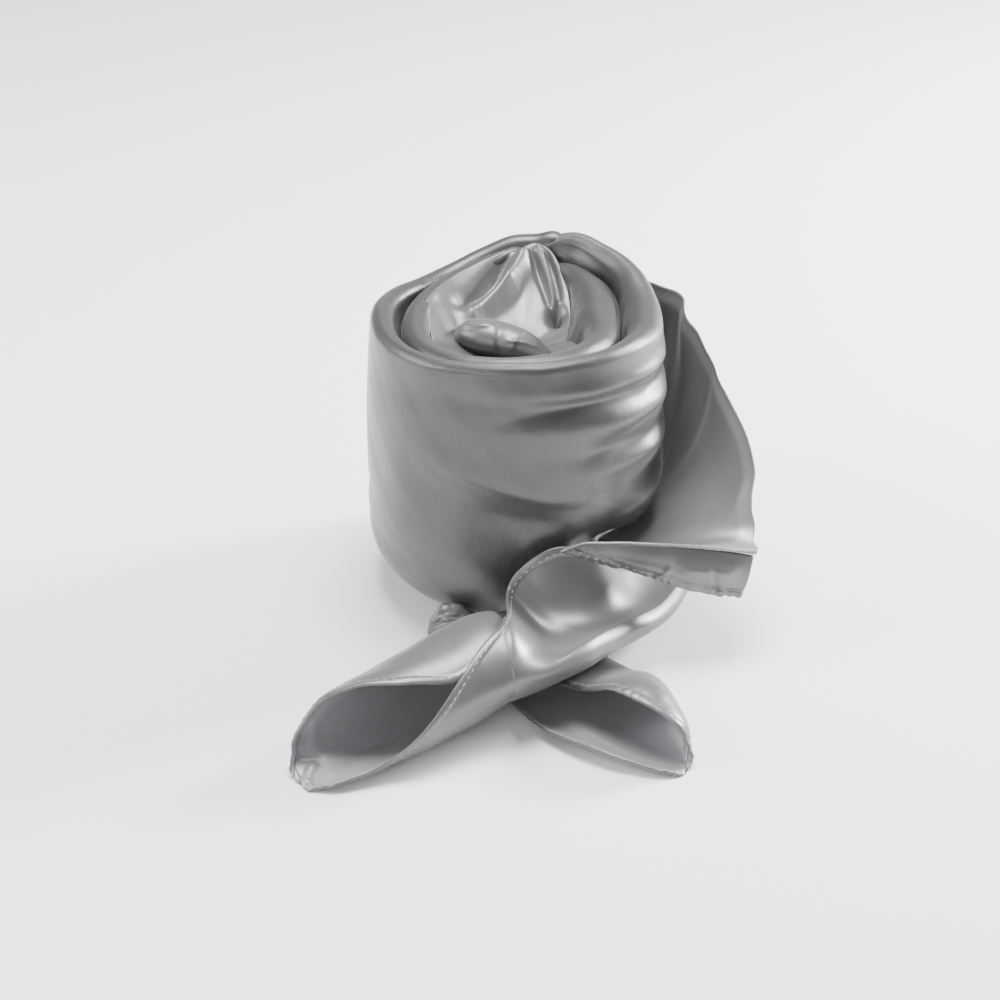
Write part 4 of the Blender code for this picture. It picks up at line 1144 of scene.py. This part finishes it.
class RoseScarfSizes(bpy.types.PropertyGroup):
    """Sizes of the cloth, its hems and its sewing."""

    cloth_thickness: bpy.props.FloatProperty(
        name="Cloth Thickness",
        description="Thickness of one layer of the satin",
        default=0.0004,
        min=0.0002,
        max=0.001,
        unit="LENGTH",
    )
    band_thickness: bpy.props.FloatProperty(
        name="Band Thickness",
        description="Thickness of the folded band that is wound into the rose",
        default=0.0009,
        min=0.0004,
        max=0.0012,
        unit="LENGTH",
    )
    hem_width: bpy.props.FloatProperty(
        name="Hem Width",
        description="Width of the narrow hem round the square",
        default=0.0026,
        unit="LENGTH",
    )
    hem_rise: bpy.props.FloatProperty(
        name="Hem Rise",
        description="How far the turned hem stands above the cloth",
        default=0.00035,
        unit="LENGTH",
    )
    stitch_spacing: bpy.props.FloatProperty(
        name="Stitch Spacing",
        description="Distance between the middles of two stitches",
        default=0.0026,
        unit="LENGTH",
    )
    stitch_length: bpy.props.FloatProperty(
        name="Stitch Length",
        description="Length of one stitch",
        default=0.0014,
        unit="LENGTH",
    )
    thread_width: bpy.props.FloatProperty(
        name="Thread Width",
        description="Thickness of the sewing thread",
        default=0.0003,
        unit="LENGTH",
    )
    rib_width: bpy.props.FloatProperty(
        name="Rib Width",
        description="Distance between two ribs of the weave",
        default=0.0008,
        unit="LENGTH",
    )
    lens: bpy.props.FloatProperty(
        name="Lens",
        description="Focal length of the camera on a 36 mm sensor",
        default=75.1,
        unit="CAMERA",
    )
    camera_distance: bpy.props.FloatProperty(
        name="Camera Distance",
        description="Distance from the camera to the middle of the rose",
        default=0.70,
        unit="LENGTH",
    )
    camera_height: bpy.props.FloatProperty(
        name="Camera Height",
        description="Angle of the camera above the table",
        default=math.radians(30.0),
        subtype="ANGLE",
    )


class RoseScarfColours(bpy.types.PropertyGroup):
    """Colours of the cloth, its thread and the floor."""

    satin: bpy.props.FloatVectorProperty(
        name="Satin",
        description="Colour of the satin where light falls on it",
        subtype="COLOR",
        size=4,
        min=0.0,
        max=1.0,
        default=(0.118, 0.118, 0.124, 1.0),
    )
    satin_shade: bpy.props.FloatVectorProperty(
        name="Satin Shade",
        description="Colour of the satin between its ribs",
        subtype="COLOR",
        size=4,
        min=0.0,
        max=1.0,
        default=(0.082, 0.082, 0.087, 1.0),
    )
    thread: bpy.props.FloatVectorProperty(
        name="Thread",
        description="Colour of the sewing thread",
        subtype="COLOR",
        size=4,
        min=0.0,
        max=1.0,
        default=(0.42, 0.42, 0.43, 1.0),
    )
    floor: bpy.props.FloatVectorProperty(
        name="Floor",
        description="Colour of the studio floor",
        subtype="COLOR",
        size=4,
        min=0.0,
        max=1.0,
        default=(0.93, 0.93, 0.93, 1.0),
    )


class ROSESCARF_OT_outer_turn(bpy.types.Operator):
    """Make the outermost turn of the wound band, from the back round to the right shoulder"""

    bl_idname = "rose_scarf.outer_turn"
    bl_label = "Outer Turn"

    def execute(self, context):
        rows = OUTER_WRAP + RIGHT_SHOULDER[1:]
        rows = OUTER_START + rows + SHOULDER_END
        degs = np.linspace(rows[0].deg, rows[-1].deg, 340)
        grid = coiled_grid(rows, degs, 84, 14, 12, DRAG_FOLDS, OUTER_FOLDS, OUTER_LEAN, 0.6, 0.7)
        piece, _, _ = cloth("outer_turn", grid, face_and_back(), sizes().band_thickness / MM)
        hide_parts("outer_wrap", "right_shoulder")
        return {"FINISHED"}


class ROSESCARF_OT_second_turn(bpy.types.Operator):
    """Make the second turn of the band and the lobe at its end"""

    bl_idname = "rose_scarf.second_turn"
    bl_label = "Second Turn"

    def execute(self, context):
        rows = SECOND_START + SECOND_TURN + INNER_LOBE[1:]
        degs = np.linspace(rows[0].deg, rows[-1].deg, 300)
        grid = coiled_grid(rows, degs, 30, 18, 16, (), SECOND_FOLDS, SECOND_LEAN, 1.5, 2.1)
        piece, _, _ = cloth("second_turn_band", grid, face_and_back(), sizes().band_thickness / MM)
        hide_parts("second_turn", "inner_lobe")
        return {"FINISHED"}


class ROSESCARF_OT_heart(bpy.types.Operator):
    """Make the pleated heart of the rose and the rolled end of cloth in it"""

    bl_idname = "rose_scarf.heart"
    bl_label = "Heart"

    def execute(self, context):
        thick = sizes().cloth_thickness / MM
        heart = round_cloth("heart_pleats", heart_grid(241, 70), face_and_back(PLAIN_RIBS), thick)
        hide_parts("heart_folds")
        places = tail_places(HEART_CURL, 70)
        grid = rolled_grid(HEART_CURL, places, 120, 1.0, CURL_FOLDS, 5.0, loose=0.15)
        grid = respaced(grid, 70, True, True)
        hems = Hemmed(low=True, high=True)
        curl, _, _ = cloth("heart_roll", grid, face_and_back(PLAIN_RIBS), thick, hems, pucker=0.03)
        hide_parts("heart_curl")
        return {"FINISHED"}


class ROSESCARF_OT_petal(bpy.types.Operator):
    """Make the open petal with its hem, and the flap turned under it"""

    bl_idname = "rose_scarf.petal"
    bl_label = "Petal and Flap"

    def execute(self, context):
        thick = sizes().cloth_thickness / MM
        hems = Hemmed(end=True)
        grid = petal_grid(190, 90)
        petal, grid, lift = cloth("petal_sheet", grid, open_cloth(), thick, hems, pucker=0.05)
        width = seam_inset()
        away = lift / np.linalg.norm(lift, axis=-1, keepdims=True)
        under_seam = stitch_line(grid, -lift - thick * away, "end", width)
        petal_seam = stitches("petal_stitches", [under_seam, stitch_line(grid, lift, "end", width)])
        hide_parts("petal")
        hems = Hemmed(high=True)
        grid = respaced(flap_grid(150, 60, grid[-1]), 24, False, True)
        flap, grid, lift = cloth("flap_sheet", grid, face_and_back(PLAIN_RIBS), thick, hems, pucker=0.26)
        flap_seam = stitches("flap_stitches", [stitch_line(grid, lift, "high", width)])
        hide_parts("flap")
        return {"FINISHED"}


class ROSESCARF_OT_front_corner(bpy.types.Operator):
    """Make the rolled corner that lies to the front left, with the bowl at its root"""

    bl_idname = "rose_scarf.front_corner"
    bl_label = "Front Corner"

    def execute(self, context):
        thick = sizes().cloth_thickness / MM
        places = tail_places(FRONT_TAIL, 190)
        grid = rolled_grid(FRONT_TAIL, places, 260, 1.0, FRONT_FOLDS, 1.3, loose=0.18)
        grid = soften_rows(grid, places, FRONT_EASE_AT, FRONT_EASE_REACH, FRONT_EASE_ROUNDS)
        grid = respaced(grid, 120, True, True)
        hems = Hemmed(start=True, low=True, high=True)
        crinkle = 0.05 + 0.22 * np.exp(-((places / 11.0) ** 2))[:, None]
        sides = face_and_back(PLAIN_RIBS)
        corner, grid, lift = cloth("front_corner", grid, sides, thick, hems, pucker=crinkle)
        width = seam_inset()
        lines = [stitch_line(grid, lift, side, width) for side in ("start", "low", "high")]
        seam = stitches("front_corner_stitches", lines)
        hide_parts("front_tail")
        return {"FINISHED"}


class ROSESCARF_OT_rear_corner(bpy.types.Operator):
    """Make the rolled corner that passes under the first one to the front right"""

    bl_idname = "rose_scarf.rear_corner"
    bl_label = "Rear Corner"

    def execute(self, context):
        thick = sizes().cloth_thickness / MM
        places = tail_places(REAR_TAIL, 120)
        grid = rolled_grid(REAR_TAIL, places, 220, -1.0, REAR_FOLDS, 2.7, loose=0.15)
        grid = respaced(grid, 96, True, True)
        hems = Hemmed(start=True, low=True, high=True)
        crinkle = 0.10 + 0.14 * np.exp(-((places / 10.0) ** 2))[:, None]
        sides = face_and_back(PLAIN_RIBS)
        corner, grid, lift = cloth("rear_corner", grid, sides, thick, hems, True, crinkle)
        width = seam_inset()
        lines = [stitch_line(grid, lift, side, width) for side in ("start", "low", "high")]
        seam = stitches("rear_corner_stitches", lines)
        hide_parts("rear_tail")
        return {"FINISHED"}


class ROSESCARF_OT_hidden_layers(bpy.types.Operator):
    """Make the crumpled bit under the rose and the hidden layers it stands on"""

    bl_idname = "rose_scarf.hidden_layers"
    bl_label = "Hidden Layers"

    def execute(self, context):
        points, faces, uv = hidden_layers(240)
        core = new_piece("hidden_layers", points, faces, face_and_back()[1:], uv)
        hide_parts("core")
        thick = sizes().cloth_thickness / MM
        places = np.linspace(TUCKED_END[0].along, TUCKED_END[-1].along, 70)
        grid = rolled_grid(TUCKED_END, places, 120, 1.0, TUCKED_FOLDS, 3.3, loose=0.5)
        grid = respaced(grid, 70, True, True)
        hems = Hemmed(low=True, high=True)
        tucked, _, _ = cloth("tucked_cloth", grid, face_and_back(PLAIN_RIBS), thick, hems, pucker=0.3)
        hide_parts("tucked_end")
        return {"FINISHED"}


class ROSESCARF_OT_stage(bpy.types.Operator):
    """Make the pale floor, the soft studio light and the camera"""

    bl_idname = "rose_scarf.stage"
    bl_label = "Stage"

    def execute(self, context):
        half = 6.0
        mesh = bpy.data.meshes.new("studio_floor_sheet")
        corners = [(-half, -half, 0.0), (half, -half, 0.0), (half, half, 0.0), (-half, half, 0.0)]
        mesh.from_pydata(corners, [], [(0, 1, 2, 3)])
        mesh.materials.append(floor_material())
        floor = bpy.data.objects.new("studio_floor_sheet", mesh)
        context.scene.collection.objects.link(floor)
        middle = Vector((ROSE_X, ROSE_Y, 40.0)) * MM
        for name, place, size, power, tint in STUDIO_LIGHTS:
            lamp = bpy.data.lights.new(name, "AREA")
            lamp.shape = "RECTANGLE"
            lamp.size, lamp.size_y = size
            lamp.energy = power
            lamp.color = tint
            holder = bpy.data.objects.new(name, lamp)
            holder.location = place
            holder.rotation_euler = (middle - holder.location).to_track_quat("-Z", "Y").to_euler()
            context.scene.collection.objects.link(holder)
        world = bpy.data.worlds.new("studio_air")
        world.use_nodes = True
        air = world.node_tree.nodes["Background"]
        air.inputs["Color"].default_value = (*WORLD_TINT, 1.0)
        air.inputs["Strength"].default_value = WORLD_STRENGTH
        context.scene.world = world
        lens = bpy.data.cameras.new("photo_camera")
        lens.sensor_width = 36.0
        lens.lens = sizes().lens
        lens.shift_x = CAMERA_SHIFT[0]
        lens.shift_y = CAMERA_SHIFT[1]
        lens.clip_start = 0.01
        camera = bpy.data.objects.new("photo_camera", lens)
        rise = sizes().camera_height
        back = Vector((0.0, -math.cos(rise), math.sin(rise)))
        camera.location = middle + back * sizes().camera_distance
        camera.rotation_euler = (math.pi / 2 - rise, 0.0, 0.0)
        context.scene.collection.objects.link(camera)
        context.scene.camera = camera
        return {"FINISHED"}


OPERATORS = (
    ROSESCARF_OT_hidden_layers,
    ROSESCARF_OT_outer_turn,
    ROSESCARF_OT_second_turn,
    ROSESCARF_OT_heart,
    ROSESCARF_OT_petal,
    ROSESCARF_OT_rear_corner,
    ROSESCARF_OT_front_corner,
    ROSESCARF_OT_stage,
)


class ROSESCARF_PT_panel(bpy.types.Panel):
    """The scarf's sizes, colours and pieces"""

    bl_idname = "ROSESCARF_PT_panel"
    bl_label = "Rose Scarf"
    bl_space_type = "VIEW_3D"
    bl_region_type = "UI"
    bl_category = "Scarf"

    def draw(self, context):
        layout = self.layout
        for group in (context.scene.rose_scarf_sizes, context.scene.rose_scarf_colours):
            for name in group.bl_rna.properties.keys():
                if name not in ("rna_type", "name"):
                    layout.prop(group, name)
        for operator in OPERATORS:
            layout.operator(operator.bl_idname)


CLASSES = (RoseScarfSizes, RoseScarfColours, *OPERATORS, ROSESCARF_PT_panel)


def register():
    for entry in CLASSES:
        bpy.utils.register_class(entry)
    bpy.types.Scene.rose_scarf_sizes = bpy.props.PointerProperty(type=RoseScarfSizes)
    bpy.types.Scene.rose_scarf_colours = bpy.props.PointerProperty(type=RoseScarfColours)


def unregister():
    del bpy.types.Scene.rose_scarf_colours
    del bpy.types.Scene.rose_scarf_sizes
    for entry in reversed(CLASSES):
        bpy.utils.unregister_class(entry)


def main():
    register()
    bpy.ops.rose_scarf.hidden_layers()
    bpy.ops.rose_scarf.outer_turn()
    bpy.ops.rose_scarf.second_turn()
    bpy.ops.rose_scarf.heart()
    bpy.ops.rose_scarf.petal()
    bpy.ops.rose_scarf.rear_corner()
    bpy.ops.rose_scarf.front_corner()
    bpy.ops.rose_scarf.stage()


if __name__ == "__main__":
    main()
